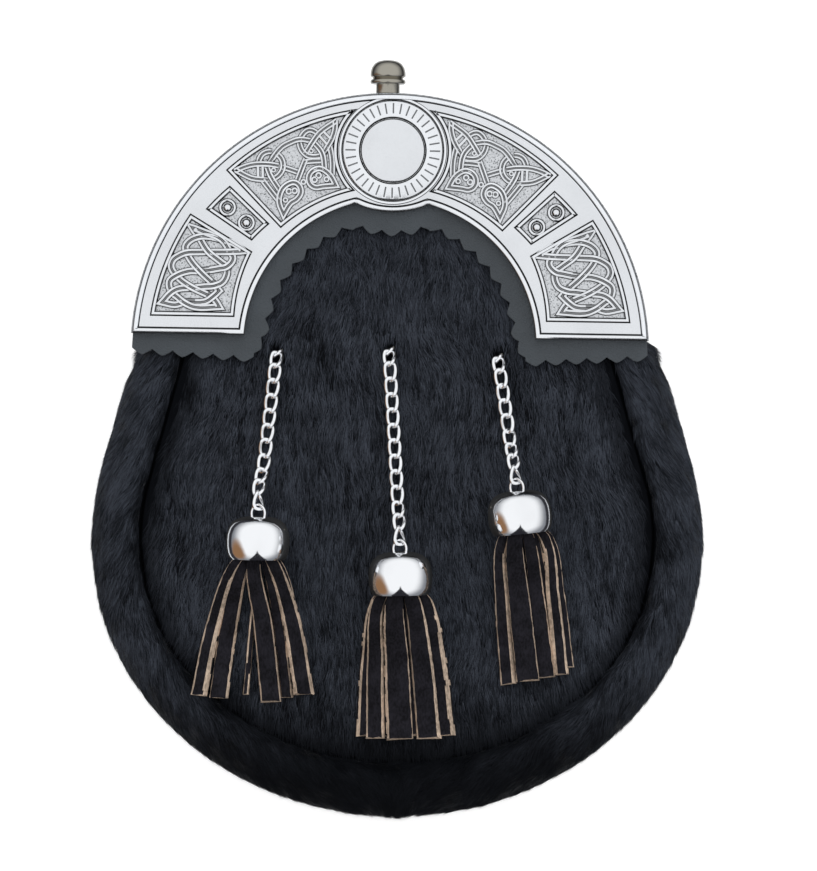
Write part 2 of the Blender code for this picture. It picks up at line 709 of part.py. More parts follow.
def relief(stations):
    """All that stands up from the plate, and the skirt behind its outer edge."""
    bm = bmesh.new()
    root = RELIEF_ROOT_Z
    band = CANTLE_RADIUS - CANTLE_INNER_RADIUS
    plate(bm, stations, 1 - RIM_WIDTH / band, 1.0, root, CANTLE_FLAT_Z + RIM_RISE)
    edge = GAP / 2 / band
    plate(bm, stations[1:-1], edge, INNER_RIM_WIDTH / band, root, CANTLE_FLAT_Z + INNER_RIM_RISE)
    skirt_out = CANTLE_RADIUS - GAP / 2
    skirt_low = CANTLE_BACK_Z + CANTLE_PLATE / 2 - SKIRT_DEPTH
    skirt_top = root + CANTLE_PLATE / 8
    arc_layer(bm, skirt_out - SKIRT_WALL, skirt_out, SKIRT_START, 180 - SKIRT_START, 18, skirt_low, skirt_top)
    medallion(bm)
    for side in (1, -1):
        for panel in PANELS:
            outline = sides(panel_outline(panel), side)
            bars(bm, outline, FRAME_WIDTH, root, [CANTLE_FLAT_Z + FRAME_RISE] * len(outline), closed=True)
        knots(bm, side)
    return bm


def medallion(bm):
    """The raised round field: an outer ridge and an inner ring about a plain sunk disc."""
    top = CANTLE_FLAT_Z + MEDALLION_RISE
    ring_width = FRAME_WIDTH
    field = CANTLE_FLAT_Z + FRAME_RISE / 2
    disc(bm, 0, MEDALLION_Y, MEDALLION_RADIUS - ring_width / 2, RELIEF_ROOT_Z, field, 20)
    for radius in (MEDALLION_RADIUS - ring_width / 2, MEDALLION_DISC_RADIUS + ring_width / 2):
        ring = circle(0, MEDALLION_Y, radius, 20)
        bars(bm, ring, ring_width, RELIEF_ROOT_Z, [top] * len(ring), closed=True)


def knots(bm, side):
    """Strands and bosses in the panels of one side."""
    unit = CANTLE_RADIUS / CHART_RADIUS
    points, tops = chart(LOWER_KNOT, side)
    bars(bm, points, STRAND_WIDTH * unit, RELIEF_ROOT_Z, tops, closed=True)
    for rows in UPPER_HEADS:
        points, tops = chart(rows, side)
        bars(bm, points, FINE_STRAND_WIDTH * unit, RELIEF_ROOT_Z, tops, closed=True)
    for rows in UPPER_RUNS:
        points, tops = chart(rows, side)
        bars(bm, points, FINE_STRAND_WIDTH * unit, RELIEF_ROOT_Z, tops)
    for x, y in BOSSES:
        ring = circle(x * unit * side, y * unit, BOSS_RING_RADIUS, 8)
        top = CANTLE_GROUND_Z + STRAND_RISE
        bars(bm, ring, BOSS_RING_WIDTH, RELIEF_ROOT_Z, [top] * len(ring), closed=True)
        disc(bm, x * unit * side, y * unit, BOSS_RADIUS, RELIEF_ROOT_Z, top, 6)


def toothed(points, pitch, depth):
    """A line with pinked teeth: its points moved by turns to either side, spaced by the pitch."""
    lengths = [0.0]
    for first, second in zip(points, points[1:]):
        lengths.append(lengths[-1] + (second - first).length)
    count = max(2, 2 * round(lengths[-1] / pitch))
    line = []
    for step in range(count + 1):
        goal = lengths[-1] * step / count
        index = max(i for i in range(len(points) - 1) if lengths[i] <= goal or i == 0)
        run = points[index + 1] - points[index]
        spot = points[index] + run * ((goal - lengths[index]) / run.length)
        out = Vector((-run.y, run.x)).normalized()
        line.append(spot + out * (depth / 2 if step % 2 else -depth / 2))
    return line


def trim_outline():
    """Outline of the pinked leather: toothed inside the cantle and under its feet."""
    turns = [mix(TRIM_START, 180 - TRIM_START, step / 40) for step in range(41)]
    inner = [inner_edge(turn, TRIM_SHOWS) for turn in turns]
    low = TRIM_FOOT_Y
    foot_in = CANTLE_INNER_RADIUS - TRIM_FOOT_SHOWS
    foot_out = CANTLE_RADIUS - GAP
    right_foot = [Vector((foot_out, low)), Vector((foot_in, low - TRIM_FOOT_SLOPE))]
    left_foot = [Vector((-foot_in, low - TRIM_FOOT_SLOPE)), Vector((-foot_out, low))]
    outline = toothed(right_foot, TOOTH_PITCH, -TOOTH_DEPTH)
    ends = [Vector((side * foot_in, low - TRIM_FOOT_SLOPE / 2)) for side in (1, -1)]
    outline += toothed([ends[0], *inner, ends[1]], TOOTH_PITCH, -TOOTH_DEPTH)[1:-1]
    outline += toothed(left_foot, TOOTH_PITCH, -TOOTH_DEPTH)
    tucked = CANTLE_RADIUS - SKIRT_WALL - SKIRT_CLEARANCE
    turns = [mix(180 - SKIRT_START, SKIRT_START, step / 20) for step in range(21)]
    outline += [on_arc(foot_out, 180 - SKIRT_START * share) for share in (0.3, 0.85)]
    outline += [on_arc(tucked, turn) for turn in turns]
    outline += [on_arc(foot_out, SKIRT_START * share) for share in (0.85, 0.3)]
    return outline


def build_trim(material):
    outline = trim_outline()
    heights = (FRONT_Z + GAP, FRONT_Z + GAP + TRIM_WALL)

    def place(row, column):
        return Vector((outline[column].x, outline[column].y, heights[row]))

    return loft("leather_trim", 2, len(outline), place, material)


def build_knob(material):
    """The knob: a pin through the cantle's skirt, a stem and a domed head with a collar."""
    stem = KNOB_PIN_LENGTH
    head = stem + KNOB_STEM_LENGTH
    rows = [(0, 0), (KNOB_PIN_RADIUS, 0), (KNOB_PIN_RADIUS, stem), (KNOB_STEM_RADIUS, stem)]
    rows += [(KNOB_STEM_RADIUS, head)]
    rows += [(KNOB_HEAD_RADIUS * radius, head + KNOB_HEAD_HEIGHT * height) for height, radius in KNOB_ROWS]
    rows += [(0, head + KNOB_HEAD_HEIGHT)]
    knob = turned("cantle_knob", rows, 12, material, smooth=35)
    knob.rotation_euler = (math.radians(-90), 0, 0)
    seat = math.sqrt(CANTLE_RADIUS**2 - KNOB_X**2) + GAP
    knob.location = (KNOB_X, seat - KNOB_PIN_LENGTH, KNOB_Z)
    return knob


def chain_start(spec):
    """Place of a chain's hole in the hide, and its way across the hide to the cap."""
    _, hole_x, hole_y, cap_x, cap_y, _ = spec
    hole = Vector((POUCH_HALF_WIDTH * hole_x, WIDEST_Y + POUCH_HALF_WIDTH * hole_y))
    cap = Vector((POUCH_HALF_WIDTH * cap_x, WIDEST_Y + POUCH_HALF_WIDTH * cap_y))
    return hole, (cap - hole).normalized()


def cap_frame(spec):
    """Middle of a cap's top and the way its axis points, from the top to the mouth."""
    _, _, _, cap_x, cap_y, lean = spec
    turn = math.radians(lean)
    down = Vector((math.sin(turn), -math.cos(turn), 0))
    x = POUCH_HALF_WIDTH * cap_x
    y = WIDEST_Y + POUCH_HALF_WIDTH * cap_y
    corners = [(dx, dy) for dx in (-CAP_RADIUS / 2, CAP_RADIUS / 2) for dy in (-CAP_HEIGHT / 2, 0)]
    level = max(hide_level(x + dx, y + dy) for dx, dy in corners)
    return Vector((x, y, level + GAP + CAP_RADIUS)) - down * (CAP_HEIGHT / 2), down


def chain_route(spec, link):
    """Route of a chain's middle: up out of its hole, along the hide, and up to the cap's staple."""
    hole, travel = chain_start(spec)
    top, down = cap_frame(spec)
    lying = LINK_WIDTH * LINK_LIE + GAP
    held = STAPLE_LIFT + STAPLE_RADIUS - (STAPLE_WIRE + LINK_WIRE) / 2 - 2 * GAP
    fall = (-down + Vector((0, 0, -1)) * CHAIN_FALL).normalized()
    finish = top - down * held + fall * ((link - LINK_WIRE) / 2)
    hide = hide_level(hole.x, hole.y)
    start = Vector((hole.x, hole.y, hide - PANEL_WALL - 2 * GAP))
    run = Vector((finish.x - hole.x, finish.y - hole.y, 0))
    reach = run.length
    way = run.normalized()

    def at(along, above):
        spot = start + way * along
        return Vector((spot.x, spot.y, hide_level(spot.x, spot.y) + above))

    points = [start, start + Vector((0, 0, PANEL_WALL + GAP)) + way * (HOLE_RADIUS * 0.25)]
    points += [at(LINK_PITCH * 1.2, lying)]
    points += [at(mix(LINK_PITCH * 1.2, reach - LINK_PITCH * 2.4, step / 4), lying) for step in range(1, 5)]
    points += [finish + fall * LINK_PITCH]
    return points + [finish]


def smooth_route(points, steps):
    """A smooth curve through the points."""
    route = []
    ends = [points[0] * 2 - points[1]] + points + [points[-1] * 2 - points[-2]]
    for index in range(1, len(ends) - 2):
        before, first, second, after = ends[index - 1 : index + 3]
        for step in range(steps):
            t = step / steps
            curve = first * 2 + (second - before) * t + (before * 2 - first * 5 + second * 4 - after) * t**2
            route.append((curve + (first * 3 - before - second * 3 + after) * t**3) / 2)
    return route + [points[-1]]


def spaced(route, count):
    """Points at equal distances along the route, with the way it runs at each."""
    lengths = [0.0]
    for first, second in zip(route, route[1:]):
        lengths.append(lengths[-1] + (second - first).length)
    spots = []
    for step in range(count + 1):
        goal = lengths[-1] * step / count
        index = max(i for i in range(len(route) - 1) if lengths[i] <= goal or i == 0)
        run = route[index + 1] - route[index]
        spots.append((route[index] + run * ((goal - lengths[index]) / run.length), run.normalized()))
    return spots, lengths[-1] / count


def chain_layout(spec):
    """Middle and way of each link from the hole to the cap, and the links' length."""
    link = LINK_PITCH + 2 * LINK_WIRE - LINK_BITE
    for _ in range(4):
        route = smooth_route(chain_route(spec, link), 8)
        total = sum((second - first).length for first, second in zip(route, route[1:]))
        spots, pitch = spaced(route, max(3, round(total / LINK_PITCH)))
        link = pitch + 2 * LINK_WIRE - LINK_BITE
    return spots, link


def link_across(spec, along, index):
    """Way of a link's width: links turn by turns a quarter about the chain's own way."""
    _, travel = chain_start(spec)
    level = Vector((-travel.y, travel.x, 0))
    over = along.cross(level).normalized()
    return (level + over * (1 if index % 2 else -1)).normalized()


def add_link(bm, middle, along, across, length):
    """Adds one link: wire bent to a loop with round ends."""
    normal = along.cross(across).normalized()
    half_straight = (length - LINK_WIDTH) / 2
    bend = (LINK_WIDTH - LINK_WIRE) / 2

    def place(row, column):
        turn = math.tau * (row + 0.5) / LINK_STEPS
        out = along * math.cos(turn) + across * math.sin(turn)
        spot = middle + out * bend + along * math.copysign(half_straight, math.cos(turn))
        lie = math.tau * column / WIRE_STEPS
        return spot + (out * math.cos(lie) + normal * math.sin(lie)) * (LINK_WIRE / 2)

    skin(bm, LINK_STEPS, WIRE_STEPS, place, closed_rows=True)


def build_chain(spec, chain_material, anchor_material):
    """A chain as one body of interlocked links, and the pin that holds its first link inside."""
    name = spec[0]
    spots, length = chain_layout(spec)
    halves = (bmesh.new(), bmesh.new())
    for index, (middle, along) in enumerate(spots):
        add_link(halves[index % 2], middle, along, link_across(spec, along, index), length)
    chain = make_object(f"chain_{name}", halves[0], chain_material, smooth=60)
    combine(chain, make_object("other_links", halves[1], chain_material, smooth=60), "UNION")
    middle, along = spots[0]
    facing = along.cross(link_across(spec, along, 0))
    seat = middle - along * (length / 2 - LINK_WIRE - GAP - ANCHOR_RADIUS)
    rows = ((0, -0.5), (1, -0.5), (1, 0.5), (0, 0.5))
    rows = [(ANCHOR_RADIUS * radius, ANCHOR_LENGTH * along_share) for radius, along_share in rows]
    anchor = turned(f"chain_anchor_{name}", rows, 8, anchor_material, smooth=40)
    anchor.rotation_mode = "QUATERNION"
    anchor.rotation_quaternion = facing.to_track_quat("Z", "Y")
    anchor.location = seat
    return chain


def build_cap(spec, material):
    """A bell cap, open at its mouth, with the staple that the chain's last link passes through."""
    outer = [(CAP_RADIUS * radius, -CAP_HEIGHT * height) for height, radius in CAP_ROWS]
    inner = [(radius - CAP_WALL, height) for radius, height in outer[3:]]
    inner.insert(0, (outer[1][0], outer[1][1] - 2 * CAP_WALL))
    rows = [(0, 0)] + outer + inner[::-1] + [(0, inner[0][1])]
    cap = turned(f"cap_{spec[0]}", rows, 12, material, smooth=50)
    ring = bmesh.new()

    def place(row, column):
        turn = math.tau * row / 8
        lie = math.tau * column / 5
        reach = STAPLE_RADIUS + math.cos(lie) * STAPLE_WIRE / 2
        height = reach * math.sin(turn) + STAPLE_LIFT - GAP
        return Vector((reach * math.cos(turn), math.sin(lie) * STAPLE_WIRE / 2, height))

    skin(ring, 8, 5, place, closed_rows=True)
    block = bmesh.new()
    disc(block, 0, 0, CAP_RADIUS, -CAP_HEIGHT, -CAP_WALL / 2, 8)
    staple = make_object("staple", ring, material, smooth=60)
    combine(staple, make_object("below", block, material), "DIFFERENCE")
    combine(cap, staple, "UNION")
    top, down = cap_frame(spec)
    spots, _ = chain_layout(spec)
    along = spots[-1][1]
    face = along.cross(link_across(spec, along, len(spots) - 1))
    up = -down
    side = (face - up * face.dot(up)).normalized()
    turn = Matrix((side, up.cross(side), up)).transposed()
    cap.rotation_mode = "QUATERNION"
    cap.rotation_quaternion = turn.to_quaternion()
    cap.location = top
    return cap


def add_strip(bm, spec, row):
    """Adds one leather strip, from inside the cap down onto the hide."""
    root, tip, length_share, layer = row
    top, down = cap_frame(spec)
    mouth = top + down * CAP_HEIGHT
    side = Vector((-down.y, down.x, 0))
    length = STRIP_LENGTH * length_share
    held = (CAP_RADIUS * CAP_MOUTH - CAP_WALL - GAP) * STRIPS_HELD
    sections = (
        (-HEAD_LENGTH / 2, root * held, 0.55, 0.0),
        (length * 0.30, mix(root * CAP_RADIUS, STRIP_LENGTH * tip, 0.25), 0.95, 0.75),
        (length, STRIP_LENGTH * tip, 1.0, 1.0),
    )

    def place(index, column):
        along, across, width, fall = sections[index]
        spot = mouth + down * along + side * across
        spread = STRIP_WIDTH * width / 2 * (-1 if column in (0, 1) else 1)
        point = spot + side * spread
        lying = lying_level(point.x, point.y) + GAP + STRIP_WALL * layer * STRIP_LAP
        held_low = mouth.z + (layer - 1) * STRIP_WALL * STRIP_LAP
        low = mix(held_low, lying, fall)
        return Vector((point.x, point.y, low + (0 if column in (0, 3) else STRIP_WALL)))

    skin(bm, len(sections), 4, place)


def build_tassel(spec, material):
    """A tassel's strips, fused to the plug that the cap holds."""
    top, down = cap_frame(spec)
    radius = CAP_RADIUS * CAP_MOUTH - CAP_WALL - GAP
    plug_end = CAP_HEIGHT - GAP
    rows = ((0, 0), (1, 0), (1, 1), (0, 1))
    rows = [(radius * out, HEAD_LENGTH * along) for out, along in rows]
    tassel = turned(f"tassel_{spec[0]}", rows, 10, material)
    turn = down.to_track_quat("Z", "Y").to_matrix().to_4x4()
    place = Matrix.Translation(top + down * (plug_end - HEAD_LENGTH))
    tassel.data.transform(place @ turn)
    bm = bmesh.new()
    for row in STRIPS[spec[0]]:
        add_strip(bm, spec, row)
    combine(tassel, make_object("strips", bm, material), "UNION")
    return tassel


def main():
    clear_scene()
    hide = make_material("black_hide", (0.010, 0.011, 0.015), 0.55, 0.0)
    leather = make_material("black_leather", (0.030, 0.031, 0.034), 0.60, 0.0)
    suede = make_material("tassel_leather", (0.018, 0.015, 0.017), 0.80, 0.0)
    chrome = make_material("chrome", (0.86, 0.87, 0.88), 0.10, 1.0)
    nickel = make_material("nickel", (0.42, 0.39, 0.33), 0.30, 1.0)
    build_gusset(hide)
    build_front_panel(hide)
    build_back_panel(leather)
    build_flap(leather)
    build_stud(nickel)
    build_belt_loop("belt_loop_left", -LOOP_X, leather)
    build_belt_loop("belt_loop_right", LOOP_X, leather)
    cantle_frame = bpy.data.objects.new("cantle_frame", None)
    bpy.context.scene.collection.objects.link(cantle_frame)
    cantle_frame.location = (CANTLE_X, CANTLE_Y, 0)
    cantle_frame.rotation_euler = (0, 0, CANTLE_TURN)
    for piece in (build_cantle(chrome), build_trim(leather), build_knob(nickel)):
        piece.parent = cantle_frame
    for spec in TASSELS:
        build_chain(spec, chrome, nickel)
        build_cap(spec, chrome)
        build_tassel(spec, suede)


main()
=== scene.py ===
"""Looks of a dress sporran that lies on its back, laid out as a Blender add-on and run as a script.

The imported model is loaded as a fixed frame. Each operator makes one piece, or one group of like
pieces, around it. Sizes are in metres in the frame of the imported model: +Z is out of the front of
the pouch, +Y is towards the knob and +X is to the right of someone who looks at the front.
"""

import math

import bmesh
import bpy
import numpy as np
from mathutils import Matrix, Vector, noise


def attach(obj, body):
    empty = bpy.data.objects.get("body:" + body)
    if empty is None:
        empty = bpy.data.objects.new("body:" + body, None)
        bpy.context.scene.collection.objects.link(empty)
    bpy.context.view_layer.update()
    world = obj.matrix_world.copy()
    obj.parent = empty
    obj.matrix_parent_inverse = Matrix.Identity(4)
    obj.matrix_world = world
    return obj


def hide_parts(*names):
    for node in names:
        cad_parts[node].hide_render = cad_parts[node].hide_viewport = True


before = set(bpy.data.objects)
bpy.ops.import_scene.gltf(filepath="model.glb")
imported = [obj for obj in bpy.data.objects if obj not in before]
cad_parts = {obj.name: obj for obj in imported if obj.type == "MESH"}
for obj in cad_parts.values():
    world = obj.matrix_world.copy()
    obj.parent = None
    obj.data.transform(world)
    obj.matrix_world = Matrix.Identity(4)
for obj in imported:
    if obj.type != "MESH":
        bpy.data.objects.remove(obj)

bl_info = {
    "name": "Sporran pouch",
    "version": (1, 0, 0),
    "blender": (4, 5, 0),
    "location": "View3D > Sidebar > Sporran",
    "description": "Builds the visible pieces of a dress sporran around its packed model",
    "category": "Object",
}

MM = 0.001
GAP = 0.3 * MM
BODY = "root"

# The pouch, as in the solids
POUCH_HALF_WIDTH = 92.1 * MM
LOWER_DEPTH = 82.0 * MM
WIDEST_Y = -31.9 * MM
SEAM_INSET = 15.7 * MM
SEAM_LOWER_DEPTH = 64.0 * MM
TOP_BAND = 13.0 * MM
FRONT_Z = 25.0 * MM
BACK_RECESS = 7.1 * MM
PANEL_WALL = 2.0 * MM
GUSSET_WALL = 1.8 * MM
SEAM_FLANGE = 4.2 * MM
SEAM_CLEARANCE = 0.5 * MM
ROLL_RISE = 2.6 * MM
CROWN = 5.0 * MM
CROWN_REACH = 70.0 * MM
PANEL_UNDER_Z = FRONT_Z - PANEL_WALL
BACK_TOP_Z = BACK_RECESS + PANEL_WALL
SEAM_HALF_WIDTH = POUCH_HALF_WIDTH - SEAM_INSET

# The cantle, in its own frame: its middle is the centre of its outer arc
CANTLE_PLACE = Matrix.Translation((-2.2 * MM, 25.9 * MM, 0)) @ Matrix.Rotation(math.radians(-0.9), 4, "Z")
CANTLE_Y = 25.9 * MM
CANTLE_RADIUS = 77.7 * MM
CANTLE_INNER_RADIUS = 43.6 * MM
CANTLE_INNER_Y = 2.0 * MM
CANTLE_FOOT_Y = 4.6 * MM
CANTLE_BACK_Z = 27.4 * MM
GROUND_Z = 29.4 * MM
FLAT_Z = 30.2 * MM
SKIRT_WALL = 1.8 * MM
SKIRT_CLEARANCE = 0.7 * MM
SKIRT_START = 20
SKIRT_LOW_Z = 17.35 * MM
BULGE_RADIUS = 25.5 * MM
BULGE_LOW_Y = 41.9 * MM
TOP_RADIUS = CANTLE_RADIUS - SKIRT_WALL - SKIRT_CLEARANCE - 2.2 * MM
MEDALLION_Y = 60.4 * MM
KNOB_X = -1.8 * MM
KNOB_Z = 23.05 * MM

# The pinked leather
TRIM_SHOWS = 6.2 * MM
TRIM_WALL = 1.8 * MM
TRIM_Z = FRONT_Z + GAP
TRIM_FOOT_Y = -0.6 * MM
TRIM_FOOT_SLOPE = 2.2 * MM
TOOTH_PITCH = 6.1 * MM
TOOTH_DEPTH = 1.8 * MM

# The chains, caps and strips
LINK_PITCH = 4.5 * MM
LINK_WIDTH = 4.4 * MM
LINK_WIRE = 1.15 * MM
LINK_BITE = 0.25 * MM
LINK_TWIST = 0.64 * MM
CHAIN_FALL = 0.55
HOLE_RADIUS = 2.9 * MM
HOLE_STRETCH = 1.55
CAP_RADIUS = 9.5 * MM
CAP_HEIGHT = 13.0 * MM
CAP_WALL = 0.7 * MM
CAP_MOUTH = 0.86
STAPLE_RADIUS = 2.6 * MM
STAPLE_WIRE = 0.8 * MM
STAPLE_LIFT = 1.1 * MM
STRIP_LENGTH = 43.5 * MM
STRIP_WIDTH = 4.8 * MM
STRIP_WALL = 1.8 * MM
STRIP_LAP = 0.7
HEAD_LENGTH = 4.5 * MM

# Sides of the pouch above its widest line. Columns: height as a share of the way from the
# widest line to the cantle's centre, half width of the edge and of the seam as shares of
# the widest half widths, and how much of the roll's rise there is.
SIDE_ROWS = (
    (0.21, 0.990, 0.990, 1.0),
    (0.42, 0.964, 0.950, 1.0),
    (0.62, 0.929, 0.908, 0.8),
    (0.83, 0.890, 0.864, 0.4),
    (0.955, 0.857, 0.838, 0.0),
    (1.03, 0.838, 0.826, 0.0),
)

# Outer face of the gusset, from its seam with the front to its seam with the back. Columns:
# share of the band's width, share of the height up to the front, share of the roll's rise.
GUSSET_ROWS = (
    (0.13, 0.985, 0.45),
    (0.45, 1.000, 1.00),
    (0.84, 0.850, 0.60),
    (1.00, 0.500, 0.00),
    (0.84, 0.110, 0.00),
    (0.58, 0.000, 0.00),
    (0.28, 0.000, 0.00),
)

# Panels of the cantle's left half, in millimetres from its centre. Columns: corner across
# and up, and the radius of the side that leaves it, minus where it bows to the right of its
# way and 0 where it is straight.
PANELS = {
    "upper": ((-49.9, 53.8, 73.5), (-10.6, 72.8, -16.35), (-11.0, 48.2, -49.4), (-33.2, 36.6, 0)),
    "small": ((-48.6, 49.2, 0), (-36.5, 37.9, -53.0), (-41.8, 32.7, 0), (-55.8, 42.0, 69.5)),
    "lower": ((-60.3, 40.7, 0), (-41.5, 29.5, -49.0), (-46.6, 9.8, 0), (-72.0, 9.8, 72.9)),
}

# Bosses in the small panels. Their sections are rows of radius and height in millimetres.
BOSSES = ((-49.2, 42.6), (-43.5, 38.1))
BOSS_RING = (
    (1.62, 29.0), (1.66, 29.45), (1.90, 30.1), (2.05, 30.4), (2.35, 30.5), (2.65, 30.4), (2.78, 30.1), (3.0, 29.45),
    (3.0, 29.0),
)
BOSS_MIDDLE = ((0, 30.5), (0.6, 30.45), (1.0, 30.25), (1.15, 29.95), (1.38, 29.45), (1.38, 29.0))

# The lower panels' knot: one closed strand that passes over and under itself in turn.
# Columns: place across and up in millimetres, and 1 where it is on top, -1 where under.
LOWER_KNOT = (
    (-59.9, 36.6, 0), (-56.2, 35.2, 0), (-50.9, 33.0, 1), (-48.4, 29.5, -1), (-47.3, 27.3, 0),
    (-49.1, 24.9, 1), (-51.5, 24.3, 0), (-57.2, 23.4, -1), (-60.2, 23.4, 0), (-64.2, 22.0, 1),
    (-66.3, 20.2, 0), (-65.6, 17.0, -1), (-63.9, 15.6, 0), (-61.7, 13.9, 1), (-58.5, 12.6, 0),
    (-51.2, 12.8, 0), (-52.2, 14.4, 0), (-53.5, 15.6, -1), (-59.5, 18.5, 1), (-62.8, 20.6, 0),
    (-64.2, 22.0, -1), (-65.8, 24.5, 0), (-65.3, 26.6, 0), (-63.3, 28.1, 0), (-61.1, 28.9, 1),
    (-58.0, 29.1, 0), (-54.8, 29.2, -1), (-48.4, 29.3, 1), (-44.0, 29.6, 0), (-47.0, 31.8, 0),
    (-50.8, 33.0, -1), (-54.9, 33.8, 0), (-57.5, 33.7, 1), (-60.3, 32.5, 0), (-61.6, 30.8, 0),
    (-61.2, 28.9, -1), (-60.2, 26.9, 0), (-57.2, 23.4, 1), (-52.7, 19.2, -1), (-51.3, 17.6, 0),
    (-53.3, 15.7, 1), (-55.5, 14.3, 0), (-61.6, 14.0, -1), (-64.5, 13.2, 0), (-68.4, 13.9, 0),
    (-65.5, 17.0, 1), (-63.3, 18.1, 0), (-59.5, 18.4, -1), (-55.8, 18.8, 0), (-52.7, 19.1, 1),
    (-50.0, 20.6, 0), (-49.2, 24.7, -1), (-51.0, 26.3, 0), (-54.8, 29.3, 1), (-57.6, 33.5, -1),
)

# The upper panels' knot of two birds, as runs between the places where a run dives under
# another. Columns as above. The first list closes on itself, the second is open.
UPPER_HEADS = (
    (
        (-32.4, 40.8, 0), (-33.8, 44.5, 0), (-33.0, 48.2, 1), (-31.2, 49.9, 1),
        (-29.4, 50.4, 1), (-27.8, 49.4, 0), (-27.3, 47.5, 0), (-28.5, 45.4, 0),
        (-30.3, 44.2, 0),
    ),
    (
        (-16.9, 49.7, 0), (-18.3, 52.3, 0), (-19.9, 53.9, 0), (-22.0, 54.7, 1),
        (-24.1, 53.8, 1), (-25.1, 51.7, 0), (-24.5, 49.9, 0), (-22.9, 49.0, 0),
        (-20.9, 49.3, 0),
    ),
)
UPPER_RUNS = (
    ((-34.1, 55.3, -1), (-37.0, 55.7, 1), (-41.5, 55.6, 0), (-44.4, 54.8, 0), (-47.2, 53.5, 0)),
    ((-47.0, 53.9, 0), (-44.4, 52.5, 0), (-42.0, 51.5, 0), (-37.2, 51.1, -1)),
    ((-36.2, 59.6, -1), (-37.8, 59.4, 0), (-39.1, 58.6, 0), (-40.3, 56.2, -1)),
    ((-24.6, 63.0, -1), (-28.1, 63.3, 1), (-30.7, 62.4, 0), (-33.3, 60.9, 0), (-36.9, 56.2, -1)),
    ((-35.2, 59.4, -1), (-33.2, 57.3, 0), (-32.8, 54.6, 1), (-34.1, 52.4, 0), (-36.4, 51.0, -1)),
    ((-37.7, 55.3, -1), (-36.5, 52.3, 1), (-33.6, 47.9, -1)),
    ((-38.9, 51.0, -1), (-36.6, 48.1, 0), (-34.0, 44.9, -1)),
    ((-26.0, 57.6, -1), (-27.3, 54.1, 1), (-28.5, 50.8, -1)),
    ((-33.2, 55.0, -1), (-30.8, 54.3, 0), (-28.3, 53.5, -1)),
    ((-28.2, 62.8, -1), (-27.3, 60.2, 0), (-25.7, 58.6, 0), (-23.8, 58.2, 1), (-21.2, 58.6, -1)),
    ((-26.5, 56.6, -1), (-23.8, 56.9, 0), (-21.0, 57.1, -1)),
    ((-26.2, 59.0, -1), (-24.4, 62.0, 1), (-22.0, 65.4, 0), (-16.9, 69.1, 0)),
    ((-17.4, 69.2, 0), (-17.4, 66.7, 0), (-18.3, 63.6, 0), (-20.8, 59.3, -1)),
    ((-27.9, 63.4, -1), (-26.2, 65.7, 0), (-24.9, 66.2, 0), (-22.4, 65.2, -1)),
    ((-23.9, 62.7, -1), (-21.2, 59.4, 1), (-20.3, 54.4, -1)),
    ((-18.9, 61.4, -1), (-18.1, 57.5, 0), (-18.0, 52.8, -1)),
)

# Small bars across the birds' wings, and the small raised rings of eyes and beads. Columns of
# the rings: place across and up in millimetres, and size.
UPPER_BARS = (
    ((-40.3, 55.0, 0), (-40.2, 52.0, 0)), ((-38.9, 55.0, 0), (-38.8, 51.8, 0)),
    ((-22.1, 64.5, 0), (-19.8, 62.0, 0)), ((-21.0, 65.9, 0), (-18.6, 63.6, 0)),
)
UPPER_EYES = (
    (-30.9, 47.7, 0.8), (-29.2, 47.9, 0.8), (-31.9, 45.1, 0.65), (-22.1, 52.6, 0.8), (-23.3, 51.3, 0.8),
    (-19.7, 51.5, 0.7), (-26.6, 50.6, 0.7), (-35.6, 54.0, 0.6), (-24.4, 59.9, 0.6),
)
EYE_ROWS = (
    (0, 29.66), (0.42, 29.66), (0.52, 30.20), (0.62, 30.36), (1.25, 30.36), (1.36, 30.15), (1.5, 29.45), (1.5, 29.0),
)

# Tassels. Columns: name, chain's hole and cap's middle as shares of the pouch's half width
# from the middle of its widest line, lean of the cap and strips in degrees.
TASSELS = (
    ("left", -0.391, 0.629, -0.450, 0.026, -1.0),
    ("middle", -0.026, 0.635, 0.011, -0.088, 1.0),
    ("right", 0.329, 0.612, 0.396, 0.110, 6.0),
)

